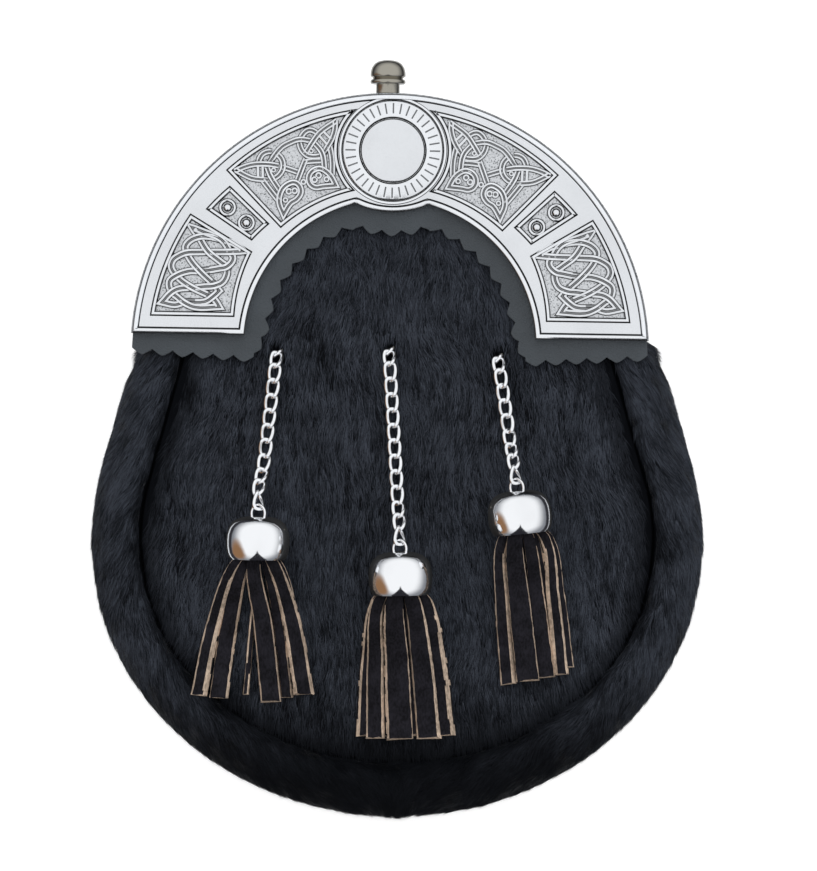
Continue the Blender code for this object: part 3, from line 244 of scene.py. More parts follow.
# Strips of each tassel. Columns: where the strip leaves the cap as a share of the cap's
# radius, where it ends and its length as shares of the strips' length, its width and how much
# of its left and right raw edges shows in millimetres, and its layer.
STRIPS = {
    "left": (
        (0.02, -0.070, 0.94, 1.8, 0.2, 0.2, 0),
        (0.33, 0.215, 0.955, 3.6, 0.2, 0.6, 0), (0.78, 0.300, 0.90, 4.4, 0.2, 0.3, 0),
        (-0.52, -0.255, 0.965, 5.6, 0.2, 0.8, 1), (-0.84, -0.392, 0.945, 4.9, 0.5, 1.35, 2),
        (0.60, 0.330, 0.930, 6.4, 1.35, 1.0, 1), (-0.14, 0.105, 0.985, 6.2, 0.5, 0.4, 2),
    ),
    "middle": (
        (-0.30, -0.120, 0.98, 5.5, 0.2, 0.2, 0), (0.10, 0.085, 0.98, 5.5, 0.2, 0.2, 0),
        (0.90, 0.298, 0.985, 5.6, 0.2, 1.45, 0), (-0.96, -0.287, 0.975, 3.4, 1.4, 0.3, 0),
        (-0.78, -0.190, 0.99, 6.0, 0.7, 1.2, 1), (0.42, 0.178, 1.00, 7.6, 0.6, 1.2, 1),
        (-0.24, -0.024, 1.00, 8.0, 0.9, 0.35, 2),
    ),
    "right": (
        (-0.10, -0.020, 0.98, 5.5, 0.2, 0.2, 0), (0.92, 0.215, 0.96, 4.6, 0.3, 0.3, 0),
        (0.42, 0.120, 0.99, 4.6, 0.2, 0.7, 0), (0.80, 0.170, 1.00, 5.0, 1.5, 0.9, 1),
        (-0.72, -0.190, 1.03, 5.2, 0.45, 1.4, 1), (0.24, 0.075, 1.01, 5.2, 0.2, 0.55, 1),
        (-0.28, -0.058, 1.02, 7.0, 0.2, 0.4, 2),
    ),
}


# Shader maths


class Number:
    """A value that varies over a surface. Sums on it add Math nodes."""

    def __init__(self, finish, socket):
        self.finish = finish
        self.socket = socket

    def maths(self, operation, first, second=0.0, third=0.0):
        sockets = {0: first, 1: second, 2: third}
        made = self.finish.node("ShaderNodeMath", {"operation": operation}, sockets)
        return Number(self.finish, made.outputs[0])

    def __add__(self, other):
        return self.maths("ADD", self, other)

    __radd__ = __add__

    def __sub__(self, other):
        return self.maths("SUBTRACT", self, other)

    def __rsub__(self, other):
        return self.maths("SUBTRACT", other, self)

    def __mul__(self, other):
        return self.maths("MULTIPLY", self, other)

    __rmul__ = __mul__

    def __truediv__(self, other):
        return self.maths("DIVIDE", self, other)

    def between(self, low, high):
        """0 below low, 1 above high and a smooth step between them."""
        made = self.finish.node(
            "ShaderNodeMapRange",
            {"interpolation_type": "SMOOTHSTEP"},
            {0: self, 1: low, 2: high, 3: 0.0, 4: 1.0},
        )
        return Number(self.finish, made.outputs[0])


class Finish:
    """A material, or the room's light, and the calls that build its nodes."""

    def __init__(self, name, shader="Principled BSDF", place="Object"):
        owners = bpy.data.worlds if shader == "Background" else bpy.data.materials
        self.material = owners.new(name)
        self.material.use_nodes = True
        self.nodes = self.material.node_tree.nodes
        self.links = self.material.node_tree.links
        self.shader = self.nodes[shader]
        self.place = self.node("ShaderNodeTexCoord").outputs[place]

    def node(self, kind, settings=None, sockets=None):
        made = self.nodes.new(kind)
        for name, value in (settings or {}).items():
            if name == "stops":
                self.set_stops(made.color_ramp, value)
            else:
                setattr(made, name, value)
        for name, value in (sockets or {}).items():
            self.feed(made.inputs[name], value)
        return made

    def set_stops(self, ramp, stops):
        while len(ramp.elements) < len(stops):
            ramp.elements.new(0.5)
        for element, (position, colour) in zip(ramp.elements, stops):
            element.position = position
            element.color = (*colour, 1.0)

    def feed(self, socket, value):
        if isinstance(value, Number):
            value = value.socket
        if isinstance(value, bpy.types.NodeSocket):
            self.links.new(value, socket)
        else:
            socket.default_value = value

    def set(self, **sockets):
        for name, value in sockets.items():
            self.feed(self.shader.inputs[name.replace("_", " ")], value)

    def stretched(self, stretch, turn=0.0):
        """Object coordinates stretched by a factor along each axis, in pattern cells per metre."""
        made = self.node(
            "ShaderNodeMapping", None, {"Vector": self.place, "Rotation": (0, 0, turn), "Scale": stretch}
        )
        return made.outputs[0]

    def noise(self, scale, detail=3.0, stretch=(1, 1, 1), turn=0.0):
        made = self.node(
            "ShaderNodeTexNoise", None,
            {"Vector": self.stretched(stretch, turn), "Scale": scale, "Detail": detail},
        )
        return Number(self, made.outputs[0])

    def cells(self, scale, feature="F1", stretch=(1, 1, 1)):
        made = self.node(
            "ShaderNodeTexVoronoi", {"feature": feature},
            {"Vector": self.stretched(stretch), "Scale": scale},
        )
        return Number(self, made.outputs[0])

    def axis(self, name):
        made = self.node("ShaderNodeSeparateXYZ", None, {0: self.place})
        return Number(self, made.outputs[name])

    def towards(self, way):
        """How far the coordinates point this way, 1 where they point straight along it."""
        way = Vector(way).normalized()
        made = self.node("ShaderNodeVectorMath", {"operation": "DOT_PRODUCT"}, {0: self.place, 1: way})
        return Number(self, made.outputs["Value"])

    def mix(self, share, first, second):
        """Colour that goes from the first to the second with share."""
        ends = [(*c, 1.0) if isinstance(c, tuple) else c for c in (first, second)]
        made = self.node("ShaderNodeMix", {"data_type": "RGBA"}, {0: share, 6: ends[0], 7: ends[1]})
        return made.outputs[2]

    def bump(self, height, distance, strength=1.0):
        made = self.node("ShaderNodeBump", None, {"Height": height, "Distance": distance, "Strength": strength})
        self.set(Normal=made.outputs[0])


def hide_finish(name, dark, light, roughness, gloss):
    """Black hide or its hairs: streaks along the hair's lie and paler, glossier patches, with painted shade that
    darkens the lower part of the pouch.
    """
    finish = Finish(name)
    clumps = finish.noise(150, 4, (1, 0.45, 1))
    patches = finish.noise(28, 2)
    if name == "bare_hide":
        own = finish.noise(900, 3, (1, 0.09, 0.3))
        finish.bump(own + clumps, 0.25 * MM, 0.6)
    else:
        own = Number(finish, finish.node("ShaderNodeAttribute", {"attribute_name": "tone"}).outputs["Fac"])
    tone = own * 0.9 + clumps.between(0.35, 0.65) * 0.06 + patches.between(0.4, 0.65) * 0.14
    # Painted shade: hide and hairs go darker towards the bottom of the pouch.
    painted_light = finish.axis("Y").between(-104 * MM, -60 * MM) * 0.93 + 0.07
    finish.set(Base_Color=finish.mix(tone * painted_light, dark, light), Roughness=roughness - clumps * 0.1)
    finish.set(Specular_IOR_Level=gloss)
    return finish.material


def leather_finish(name, dark, light, roughness, grain):
    """Dyed leather: pebbled grain, faint creases and worn paler patches."""
    finish = Finish(name)
    pebbles = finish.cells(1.0 / grain, "DISTANCE_TO_EDGE")
    fine = finish.noise(2600, 4)
    patches = finish.noise(45, 3)
    tone = patches.between(0.35, 0.7) * 0.6 + fine * 0.4
    finish.set(Base_Color=finish.mix(tone, dark, light), Roughness=fine * 0.2 + roughness)
    finish.bump(pebbles.between(0.0, 0.25) + fine * 0.7, 0.12 * MM, 0.7)
    return finish.material


def cast_finish(name, colour):
    """Bright plated casting: painted shade in its low places, worn bright on top."""
    finish = Finish(name)
    height = finish.axis("Z")
    grain = finish.noise(1500, 3)
    clouds = finish.noise(60, 3)
    front = height.between(GROUND_Z - 0.3 * MM, GROUND_Z - 0.2 * MM)
    # Painted shade: faces from the ground up towards the flat are darkened, as the shade in the casting's crevices.
    low = (1 - height.between(GROUND_Z + 0.15 * MM, FLAT_Z - 0.03 * MM)) * front
    worn = height.between(FLAT_Z + 0.1 * MM, FLAT_Z + 0.5 * MM)
    plain = finish.mix(worn, tuple(part * 0.86 for part in colour), colour)
    # Painted shade in the low places, plus faint random mottling.
    shade_and_mottling = low * 0.93 + clouds.between(0.4, 0.7) * 0.05 + grain.between(0.45, 0.8) * 0.04
    finish.set(Base_Color=finish.mix(shade_and_mottling, plain, (0.03, 0.033, 0.036)), Metallic=1.0)
    finish.set(Roughness=clouds * 0.12 + low * 0.25 + 0.15)
    finish.bump(grain + clouds * 2, 0.02 * MM, 0.3)
    return finish.material


def ground_finish(name, colour):
    """The panels' sunk ground: the same casting, stippled with punched dots."""
    finish = Finish(name)
    dots = finish.cells(1500)
    grain = finish.noise(2600, 3)
    dark = (1 - dots.between(0.15, 0.45)) * 0.75 + grain.between(0.45, 0.65) * 0.3
    finish.set(Base_Color=finish.mix(dark, tuple(part * 0.8 for part in colour), (0.16, 0.17, 0.175)), Metallic=1.0)
    finish.set(Roughness=grain * 0.2 + 0.35)
    finish.bump(dots + grain * 0.5, 0.12 * MM, 0.7)
    return finish.material


def bright_finish(name, colour, roughness):
    """Bright plated metal with faint polishing marks."""
    finish = Finish(name)
    marks = finish.noise(700, 4, (1, 0.3, 1))
    smears = finish.noise(90, 3)
    tint = tuple(part * 0.9 for part in colour)
    finish.set(Base_Color=finish.mix(smears.between(0.4, 0.75) * 0.5, colour, tint), Metallic=1.0)
    finish.set(Roughness=smears * 0.08 + marks * 0.05 + roughness)
    finish.bump(marks, 0.01 * MM, 0.15)
    return finish.material


def suede_finish(name, dark, light, scale):
    """Fibrous leather, as on the strips' napped faces and their raw cut edges."""
    finish = Finish(name)
    fibres = finish.noise(scale, 4, (1, 0.5, 1))
    patches = finish.noise(160, 3)
    tone = fibres.between(0.35, 0.65) * 0.6 + patches.between(0.4, 0.62) * 0.5
    finish.set(Base_Color=finish.mix(tone, dark, light), Roughness=0.9, Specular_IOR_Level=0.12)
    finish.bump(fibres, 0.15 * MM, 0.7)
    return finish.material


def floor_finish():
    """A pale floor that glows a little, so that the shadow on it stays faint."""
    finish = Finish("pale_floor")
    grain = finish.noise(400, 2)
    finish.set(Base_Color=finish.mix(grain, (0.84, 0.84, 0.84), (0.88, 0.88, 0.88)), Roughness=0.9)
    finish.set(Emission_Color=(1.0, 1.0, 1.0, 1.0), Emission_Strength=0.6)
    return finish.material


# Meshes


def finished(name, bm, materials, smooth=None, replaces=()):
    """The finished mesh as a piece that rides on the body and what it stands for."""
    mesh = bpy.data.meshes.new(name)
    bm.to_mesh(mesh)
    bm.free()
    for material in materials:
        mesh.materials.append(material)
    if smooth:
        mesh.shade_smooth()
        mesh.set_sharp_from_angle(angle=math.radians(smooth))
    piece = bpy.data.objects.new(name, mesh)
    bpy.context.scene.collection.objects.link(piece)
    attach(piece, BODY)
    if replaces:
        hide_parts(*replaces)
    return piece


def woven(bm, rows, columns, place, closed_rows=False, filled=True, material=0):
    """Adds a tube whose sections place(row, column) gives. Its ends are filled unless it is closed."""
    last_row = rows if closed_rows else rows - 1
    made = bmesh.ops.create_grid(bm, x_segments=columns, y_segments=last_row, size=1)["verts"]
    spots = sorted(made, key=lambda vert: (round(vert.co.y, 6), round(vert.co.x, 6)))
    for index, vert in enumerate(spots):
        row, column = divmod(index, columns + 1)
        vert.co = place(row % rows, column % columns)
    bmesh.ops.remove_doubles(bm, verts=made, dist=1e-7)
    made = [vert for vert in made if vert.is_valid]
    edges = {edge for vert in made for edge in vert.link_edges if edge.is_boundary}
    if edges and filled:
        bmesh.ops.holes_fill(bm, edges=list(edges), sides=0)
    faces = {face for vert in made for face in vert.link_faces}
    bmesh.ops.recalc_face_normals(bm, faces=list(faces))
    for face in faces:
        face.material_index = material
    return faces


def mix(first, second, share):
    return first + (second - first) * share


def on_arc(radius, degrees):
    angle = math.radians(degrees)
    return Vector((radius * math.cos(angle), radius * math.sin(angle)))


def flowing(points, steps, closed=False, corner=70):
    """A smooth line through the points, kept sharp where they turn by more than corner degrees."""
    count = len(points)
    spans = count if closed else count - 1

    def way(index, leaving):
        inside = closed or 0 < index % count < count - 1
        before = points[index % count] - points[(index - 1) % count]
        after = points[(index + 1) % count] - points[index % count]
        if not inside:
            return after if index % count == 0 else before
        flat_before, flat_after = before.xy, after.xy
        sharp = flat_before.length and flat_after.length and flat_before.angle(flat_after) > math.radians(corner)
        if sharp:
            return after if leaving else before
        return (before * after.length + after * before.length) / (before.length + after.length)

    line = []
    for index in range(spans):
        first, second = points[index], points[(index + 1) % count]
        leave, come = way(index, True), way(index + 1, False)
        length = (second - first).length
        leave = leave * (length / max(leave.length, 1e-9))
        come = come * (length / max(come.length, 1e-9))
        for step in range(steps):
            t = step / steps
            line.append(
                first * (2 * t**3 - 3 * t**2 + 1) + leave * (t**3 - 2 * t**2 + t)
                + second * (3 * t**2 - 2 * t**3) + come * (t**3 - t**2)
            )
    return line if closed else line + [points[-1].copy()]


def outward(points, index, closed):
    """Unit step to the left of the line at a point, longer at a bend so that a border keeps its width."""
    count = len(points)
    before = points[(index - 1) % count].xy if closed or index > 0 else None
    after = points[(index + 1) % count].xy if closed or index < count - 1 else None
    here = points[index].xy
    come = (here - before).normalized() if before is not None else None
    leave = (after - here).normalized() if after is not None else None
    come = come or leave
    leave = leave or come
    across = Vector((-come.y - leave.y, come.x + leave.x))
    across = across.normalized() if across.length > 1e-6 else Vector((-leave.y, leave.x))
    spread = max(0.42, across.dot(Vector((-leave.y, leave.x))))
    return across / spread


def border(bm, points, profile, closed=True, material=0):
    """Adds a moulding along points in the plane. profile(index) gives its section, as rows of
    (distance to the left of the line, height)."""
    ways = [outward(points, index, closed) for index in range(len(points))]
    sections = [profile(index) for index in range(len(points))]

    def place(row, column):
        across, height = sections[row][column]
        spot = points[row].xy + ways[row] * across
        return Vector((spot.x, spot.y, height))

    return woven(bm, len(points), len(sections[0]), place, closed_rows=closed, material=material)


def block(bm, outline, low, high, rounding=0.0, material=0):
    """Adds a solid with the clockwise outline as its top and bottom, and its upper edge rounded."""
    rows = [(outline, low), (outline, high)]
    if rounding:
        shares = [(1 - math.cos(math.radians(turn)), math.sin(math.radians(turn))) for turn in (0, 30, 60, 90)]
        rows = [(outline, low)]
        rows += [(moved_in(outline, rounding * a), high - rounding * (1 - b)) for a, b in shares]

    def place(row, column):
        line, height = rows[row]
        return Vector((line[column].x, line[column].y, height))

    return woven(bm, len(rows), len(outline), place, material=material)


def moved_in(points, distance):
    """The closed outline with each side moved in by the distance. The outlines run clockwise."""
    return [points[i].xy - outward(points, i, True) * distance for i in range(len(points))]


def turned(bm, profile, sides, place=Matrix.Identity(4), material=0):
    """Adds a solid turned about Z from rows of (radius, height). Ends on the axis are closed."""
    verts = [bm.verts.new((radius, 0, height)) for radius, height in profile]
    edges = [bm.edges.new(pair) for pair in zip(verts, verts[1:])]
    made = bmesh.ops.spin(
        bm, geom=verts + edges, cent=(0, 0, 0), axis=(0, 0, 1), angle=math.tau, steps=sides, use_merge=True
    )
    touched = {vert for vert in verts if vert.is_valid}
    touched |= {item for item in made["geom_last"] if isinstance(item, bmesh.types.BMVert) and item.is_valid}
    reached = set(touched)
    queue = list(touched)
    while queue:
        for edge in queue.pop().link_edges:
            for vert in edge.verts:
                if vert not in reached:
                    reached.add(vert)
                    queue.append(vert)
    reached = list(reached)
    bmesh.ops.remove_doubles(bm, verts=reached, dist=1e-6)
    reached = [vert for vert in reached if vert.is_valid]
    faces = list({face for vert in reached for face in vert.link_faces})
    bmesh.ops.recalc_face_normals(bm, faces=faces)
    bmesh.ops.transform(bm, matrix=place, verts=reached)
    for face in faces:
        face.material_index = material
    return faces


def cut(thing, cutter):
    """Takes the cutter away from the object, and removes the cutter."""
    modifier = thing.modifiers.new("cut", "BOOLEAN")
    modifier.operation = "DIFFERENCE"
    modifier.solver = "EXACT"
    modifier.use_self = True
    modifier.object = cutter
    bpy.context.view_layer.update()
    graph = bpy.context.evaluated_depsgraph_get()
    mesh = bpy.data.meshes.new_from_object(thing.evaluated_get(graph))
    thing.modifiers.clear()
    thing.data = mesh
    bpy.data.objects.remove(cutter, do_unlink=True)


def loose(name, bm):
    """A working object that carries a mesh until it is cut or joined."""
    mesh = bpy.data.meshes.new(name)
    bm.to_mesh(mesh)
    bm.free()
    thing = bpy.data.objects.new(name, mesh)
    bpy.context.scene.collection.objects.link(thing)
    return thing


# Shape of the pouch


def hide_level(x, y):
    """Height of the front's hide above the surface that the pouch lies on."""
    reach = np.hypot(x, y - WIDEST_Y) / CROWN_REACH
    return FRONT_Z + CROWN * np.maximum(0.0, 1 - reach * reach) ** 2


def lying_level(x, y):
    """Height of what a strip lies on: the front's hide, or the roll past the front's seam."""
    ratio = math.hypot(x / SEAM_HALF_WIDTH, min(0.0, y - WIDEST_Y) / SEAM_LOWER_DEPTH)
    near = min(1.0, max(0.0, (ratio - 0.80) / 0.14))
    return max(hide_level(x, y), mix(FRONT_Z, FRONT_Z + ROLL_RISE, near))


def half_stations():
    """Seam point, edge point and share of the roll's rise, from the lowest middle to the top middle."""
    stations = []
    for step in range(6):
        turn = math.radians(18 * step)
        seam = Vector((SEAM_HALF_WIDTH * math.sin(turn), WIDEST_Y - SEAM_LOWER_DEPTH * math.cos(turn)))
        edge = Vector((POUCH_HALF_WIDTH * math.sin(turn), WIDEST_Y - LOWER_DEPTH * math.cos(turn)))
        stations.append((seam, edge, 1.0))
    for height, edge_share, seam_share, roll in SIDE_ROWS:
        y = mix(WIDEST_Y, CANTLE_Y, height)
        stations.append((Vector((SEAM_HALF_WIDTH * seam_share, y)), Vector((POUCH_HALF_WIDTH * edge_share, y)), roll))
    centre = Vector((0.0, CANTLE_Y))
    for degrees in (5, 20, 36, 54, 72, 90):
        stations.append((centre + on_arc(TOP_RADIUS - TOP_BAND, degrees), centre + on_arc(TOP_RADIUS, degrees), 0.0))
    return stations


def pouch_stations(fine):
    """The stations all the way round, each span between the charted ones divided by fine."""
    half = half_stations()
    mirrored = [(Vector((-seam.x, seam.y)), Vector((-edge.x, edge.y)), roll) for seam, edge, roll in half[-2:0:-1]]
    whole = half + mirrored
    seams = flowing([Vector((seam.x, seam.y, roll * MM)) for seam, _, roll in whole], fine, closed=True, corner=179)
    edges = flowing([Vector((edge.x, edge.y, 0)) for _, edge, _ in whole], fine, closed=True, corner=179)
    return [(seam.xy, edge.xy, min(1.0, max(0.0, seam.z / MM))) for seam, edge in zip(seams, edges)]


def wall_path(outer, wall):
    """A closed section: the outer path, and back along the same path moved in by the wall."""
    inner = []
    for index, point in enumerate(outer):
        come = (point - outer[index - 1]).normalized() if index else None
        leave = (outer[index + 1] - point).normalized() if index < len(outer) - 1 else None
        come = come or leave
        leave = leave or come
        inward = Vector((come.y + leave.y, -come.x - leave.x)).normalized()
        spread = max(0.6, inward.dot(Vector((leave.y, -leave.x))))
        inner.append(point + inward * (wall / spread))
    return outer + inner[::-1]


def gusset_outer(seam, edge, roll, fine=4):
    """Outer face of the gusset at one station, as points of (distance out from the seam, height)."""
    band = (edge - seam).length
    front = PANEL_UNDER_Z - GAP
    back = BACK_TOP_Z + GAP
    start = [Vector((-SEAM_FLANGE, front, 0)), Vector((SEAM_CLEARANCE, front, 0))]
    bent = [Vector((SEAM_CLEARANCE, front, 0))]
    for across, height, rise in GUSSET_ROWS:
        bent.append(Vector((band * across, FRONT_Z * height + ROLL_RISE * roll * rise, 0)))
    bent.append(Vector((SEAM_CLEARANCE, back, 0)))
    end = Vector((-SEAM_FLANGE, back, 0))
    return [Vector((point.x, max(0.0, point.y))) for point in start[:1] + flowing(bent, fine, corner=179) + [end]]


def inner_edge(degrees, inset=0.0):
    """Point on the cantle's inner edge, moved in by inset, with the bulge under the medallion."""
    radius = CANTLE_INNER_RADIUS - inset
    plain = Vector((0, CANTLE_INNER_Y)) + on_arc(radius, degrees)
    bulge_centre = BULGE_LOW_Y + BULGE_RADIUS
    depth = (BULGE_RADIUS + inset) ** 2 - plain.x**2
    if depth > 0 and plain.y > CANTLE_FOOT_Y + radius / 2:
        plain.y = min(plain.y, bulge_centre - math.sqrt(depth))
    return plain


def pit(spot, hole, way):
    """How far the hide is sunk at a spot by the hole that a chain comes out of."""
    away = spot - hole - way * (HOLE_RADIUS * (HOLE_STRETCH - 1))
    along = away.dot(way) / (HOLE_RADIUS * HOLE_STRETCH)
    across = away.dot(Vector((-way.y, way.x))) / HOLE_RADIUS
    near = min(1.0, max(0.0, (1.05 - math.hypot(along, across)) / 0.35))
    return PANEL_WALL * 0.95 * near * near * (3 - 2 * near)


# Pieces of the pouch


def finish_of(name):
    return bpy.data.materials[name]


def dimmed(colour, share):
    return tuple(part * share for part in colour)


class SPORRAN_PG_sizes(bpy.types.PropertyGroup):
    """Sizes of the looks that a user would change"""

    hair_length: bpy.props.FloatProperty(
        name="Hair length", description="Length of the hide's hairs", default=5.0 * MM, unit="LENGTH"
    )
    hair_width: bpy.props.FloatProperty(
        name="Hair width", description="Width of a lock of hairs at its root", default=0.24 * MM, unit="LENGTH"
    )
    hair_lift: bpy.props.FloatProperty(
        name="Hair lift", description="How far the hairs' tips stand off the hide", default=0.5 * MM, unit="LENGTH"
    )
    front_hairs: bpy.props.IntProperty(
        name="Front hairs", description="Number of locks on the front", default=150000
    )
    band_hairs: bpy.props.IntProperty(
        name="Band hairs", description="Number of locks on the rolled band", default=185000
    )
    tooth_pitch: bpy.props.FloatProperty(
        name="Tooth pitch", description="Distance between the pinked leather's notches", default=TOOTH_PITCH, unit="LENGTH"
    )
    tooth_depth: bpy.props.FloatProperty(
        name="Tooth depth", description="Depth of the pinked leather's notches", default=TOOTH_DEPTH, unit="LENGTH"
    )
    medallion_ticks: bpy.props.IntProperty(
        name="Medallion ticks", description="Number of cuts round the medallion", default=36
    )


class SPORRAN_PG_colours(bpy.types.PropertyGroup):
    """Colours of the looks that a user would change"""

    hair: bpy.props.FloatVectorProperty(
        name="Hair", description="Palest colour of the hairs", subtype="COLOR", default=(0.068, 0.077, 0.098)
    )
    trim: bpy.props.FloatVectorProperty(
        name="Pinked leather", description="Palest colour of the pinked leather", subtype="COLOR",
        default=(0.066, 0.078, 0.090),
    )
    back: bpy.props.FloatVectorProperty(
        name="Back leather", description="Palest colour of the back", subtype="COLOR", default=(0.026, 0.026, 0.028)
    )
    cast: bpy.props.FloatVectorProperty(
        name="Cast metal", description="Colour of the cantle's worn edges", subtype="COLOR", default=(0.95, 0.97, 1.0)
    )
    bright: bpy.props.FloatVectorProperty(
        name="Bright metal", description="Colour of the caps and chains", subtype="COLOR", default=(0.97, 0.98, 1.0)
    )
    nickel: bpy.props.FloatVectorProperty(
        name="Nickel", description="Colour of the knob", subtype="COLOR", default=(0.39, 0.37, 0.32)
    )
    strip: bpy.props.FloatVectorProperty(
        name="Strips", description="Palest colour of the strips' faces", subtype="COLOR", default=(0.017, 0.016, 0.021)
    )
    strip_edge: bpy.props.FloatVectorProperty(
        name="Raw edges", description="Palest colour of the strips' raw edges", subtype="COLOR",
        default=(0.72, 0.56, 0.43),
    )


class SPORRAN_OT_materials(bpy.types.Operator):
    """Makes the finishes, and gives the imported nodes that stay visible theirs"""

    bl_idname = "sporran.materials"
    bl_label = "Materials"

    def execute(self, context):
        chosen = context.scene.sporran_colours
        hair, trim, back = tuple(chosen.hair), tuple(chosen.trim), tuple(chosen.back)
        cast, nickel = tuple(chosen.cast), tuple(chosen.nickel)
        strip, edge = tuple(chosen.strip), tuple(chosen.strip_edge)
        hide_finish("bare_hide", dimmed(hair, 0.03), dimmed(hair, 0.08), 0.8, 0.0)
        hide_finish("black_hair", dimmed(hair, 0.06), hair, 0.55, 0.02)
        leather_finish("grey_leather", dimmed(trim, 0.68), trim, 0.55, 0.9 * MM)
        leather_finish("back_leather", dimmed(back, 0.5), back, 0.5, 1.1 * MM)
        cast_finish("cast_metal", cast)
        ground_finish("stippled_metal", cast)
        # Painted shade: dimmed copies of the cast colour for the cantle's steep flanks and the faces sunk below its
        # flat.
        bright_finish("shade_painted_metal", dimmed(cast, 0.13), 0.4)
        bright_finish("half_shade_painted_metal", dimmed(cast, 0.3), 0.4)
        bright_finish("bright_metal", tuple(chosen.bright), 0.04)
        bright_finish("dull_nickel", nickel, 0.16)
        suede_finish("strip_face", dimmed(strip, 0.3), strip, 1800)
        suede_finish("strip_edge", dimmed(edge, 0.42), edge, 1500)
        suede_finish("thread", (0.05, 0.05, 0.05), (0.12, 0.12, 0.12), 2500)
        kept = {"back_panel": "back_leather", "back_flap": "back_leather", "belt_loop_left": "back_leather",
                "belt_loop_right": "back_leather", "flap_stud": "dull_nickel"}
        for side, *_ in TASSELS:
            kept[f"chain_anchor_{side}"] = "dull_nickel"
        for node, material in kept.items():
            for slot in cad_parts[node].material_slots:
                slot.material = finish_of(material)
        return {"FINISHED"}


class SPORRAN_OT_hide(bpy.types.Operator):
    """Makes the front's hide and the gusset's roll"""

    bl_idname = "sporran.hide"
    bl_label = "Hide"

    def execute(self, context):
        self.make_front()
        self.make_roll()
        return {"FINISHED"}

    def make_front(self):
        stations = pouch_stations(10)
        middle = Vector((0.0, WIDEST_Y))
        tops = [step / 90 for step in range(91)]
        rings = [(share, 0.0) for share in tops] + [(share, PANEL_WALL) for share in tops[::-10]]
        holes = [chain_start(spec) for spec in TASSELS]

        def place(row, column):
            share, sunk = rings[row]
            spot = middle.lerp(stations[column][0], share)
            level = hide_level(spot.x, spot.y) - sunk
            if not sunk:
                level -= sum(pit(spot, hole, way) for hole, way in holes)
            return Vector((spot.x, spot.y, level))

        bm = bmesh.new()
        woven(bm, len(rings), len(stations), place)
        front = finished("front_hide", bm, [finish_of("bare_hide")], 80, ["front_panel"])
        front.visible_glossy = False

    def make_roll(self):
        stations = pouch_stations(10)
        sections = [wall_path(gusset_outer(*station), GUSSET_WALL) for station in stations]

        def place(row, column):
            seam, edge, _ = stations[row]
            out, height = sections[row][column]
            spot = seam + (edge - seam).normalized() * out
            return Vector((spot.x, spot.y, height))

        bm = bmesh.new()
        woven(bm, len(stations), len(sections[0]), place, closed_rows=True)
        band = finished("gusset_roll", bm, [finish_of("bare_hide")], 60, ["gusset"])
        band.visible_glossy = False


# Hair


def drift(spots, size, seed):
    """Smooth random values about 0 at the spots, in lumps of about this size."""
    random = np.random.default_rng(seed)
    total = np.zeros(len(spots))
    for _ in range(16):
        way = random.normal(size=spots.shape[1]) * math.pi / size
        total += np.sin(spots @ way + random.uniform(0, math.tau))
    return total / 4


def unit(rows):
    return rows / np.maximum(np.linalg.norm(rows, axis=1), 1e-9)[:, None]


def climbing(values, low, high):
    """0 below low, 1 above high and a smooth step between them."""
    share = ((values - low) / (high - low)).clip(0, 1)
    return share * share * (3 - 2 * share)


def add_hairs(name, roots, ways, ups, lies, shade, seed):
    """Makes one piece of short straight hairs that lie along their ways, a thin triangle each.

    lies holds places across and along the hairs, for the streaks, and shade the painted shade that darkens each hair."""
    sizes = bpy.context.scene.sporran_sizes
    random = np.random.default_rng(seed)
    count = len(roots) // 2 * 2
    roots, ways, ups = roots[:count], unit(ways[:count]), unit(ups[:count])
    bm = bmesh.new()
    bmesh.ops.create_grid(bm, x_segments=count // 2, y_segments=1, size=1)
    bmesh.ops.triangulate(bm, faces=bm.faces[:])
    bmesh.ops.split_edges(bm, edges=bm.edges[:])
    piece = finished(name, bm, [finish_of("black_hair")])
    piece.visible_glossy = False
    corners = np.empty(len(piece.data.loops), np.int32)
    piece.data.loops.foreach_get("vertex_index", corners)
    corners = corners.reshape(-1, 3)
    ways = unit(ways - ups * (ways * ups).sum(axis=1)[:, None])
    roll = drift(roots, 4 * MM, seed + 1) * 0.35 + random.normal(size=count) * 0.3
    sides = np.cross(ways, ups)
    sides = sides * np.cos(roll)[:, None] + ups * np.sin(roll)[:, None]
    length = sizes.hair_length * (1 + 0.15 * random.normal(size=count)).clip(0.5, 1.4)
    lift = sizes.hair_lift * (0.75 + 0.35 * drift(roots, 3 * MM, seed + 2) + 0.3 * random.normal(size=count)).clip(0.1, 2)
    half = sides * (sizes.hair_width / 2 * random.uniform(0.6, 1.3, count))[:, None]
    spots = np.empty((len(piece.data.vertices), 3))
    sunk = roots - ups * 0.15 * MM
    spots[corners[:, 0]] = sunk - half
    spots[corners[:, 1]] = sunk + half
    spots[corners[:, 2]] = roots + ways * length[:, None] + ups * lift[:, None]
    spots[:, 2] = np.maximum(spots[:, 2], 0.2 * MM)
    piece.data.vertices.foreach_set("co", spots.ravel())
    lies, shade = lies[:count], shade[:count]
    tone = 0.43 + 0.1 * drift(roots, 9 * MM, seed + 3) + 0.13 * drift(lies, 2.6 * MM, seed + 4)
    tone += 0.34 * drift(lies, 0.9 * MM, seed + 5) + 0.5 * random.normal(size=count)
    # Painted shade: each hair's tone is multiplied by shade, which darkens hairs in the seam's valley and at the
    # band's outer edge.
    tone = tone.clip(0, 1.7) * shade
    piece.data.attributes.new("tone", "FLOAT", "FACE").data.foreach_set("value", tone)
    piece.data.update()
    return piece


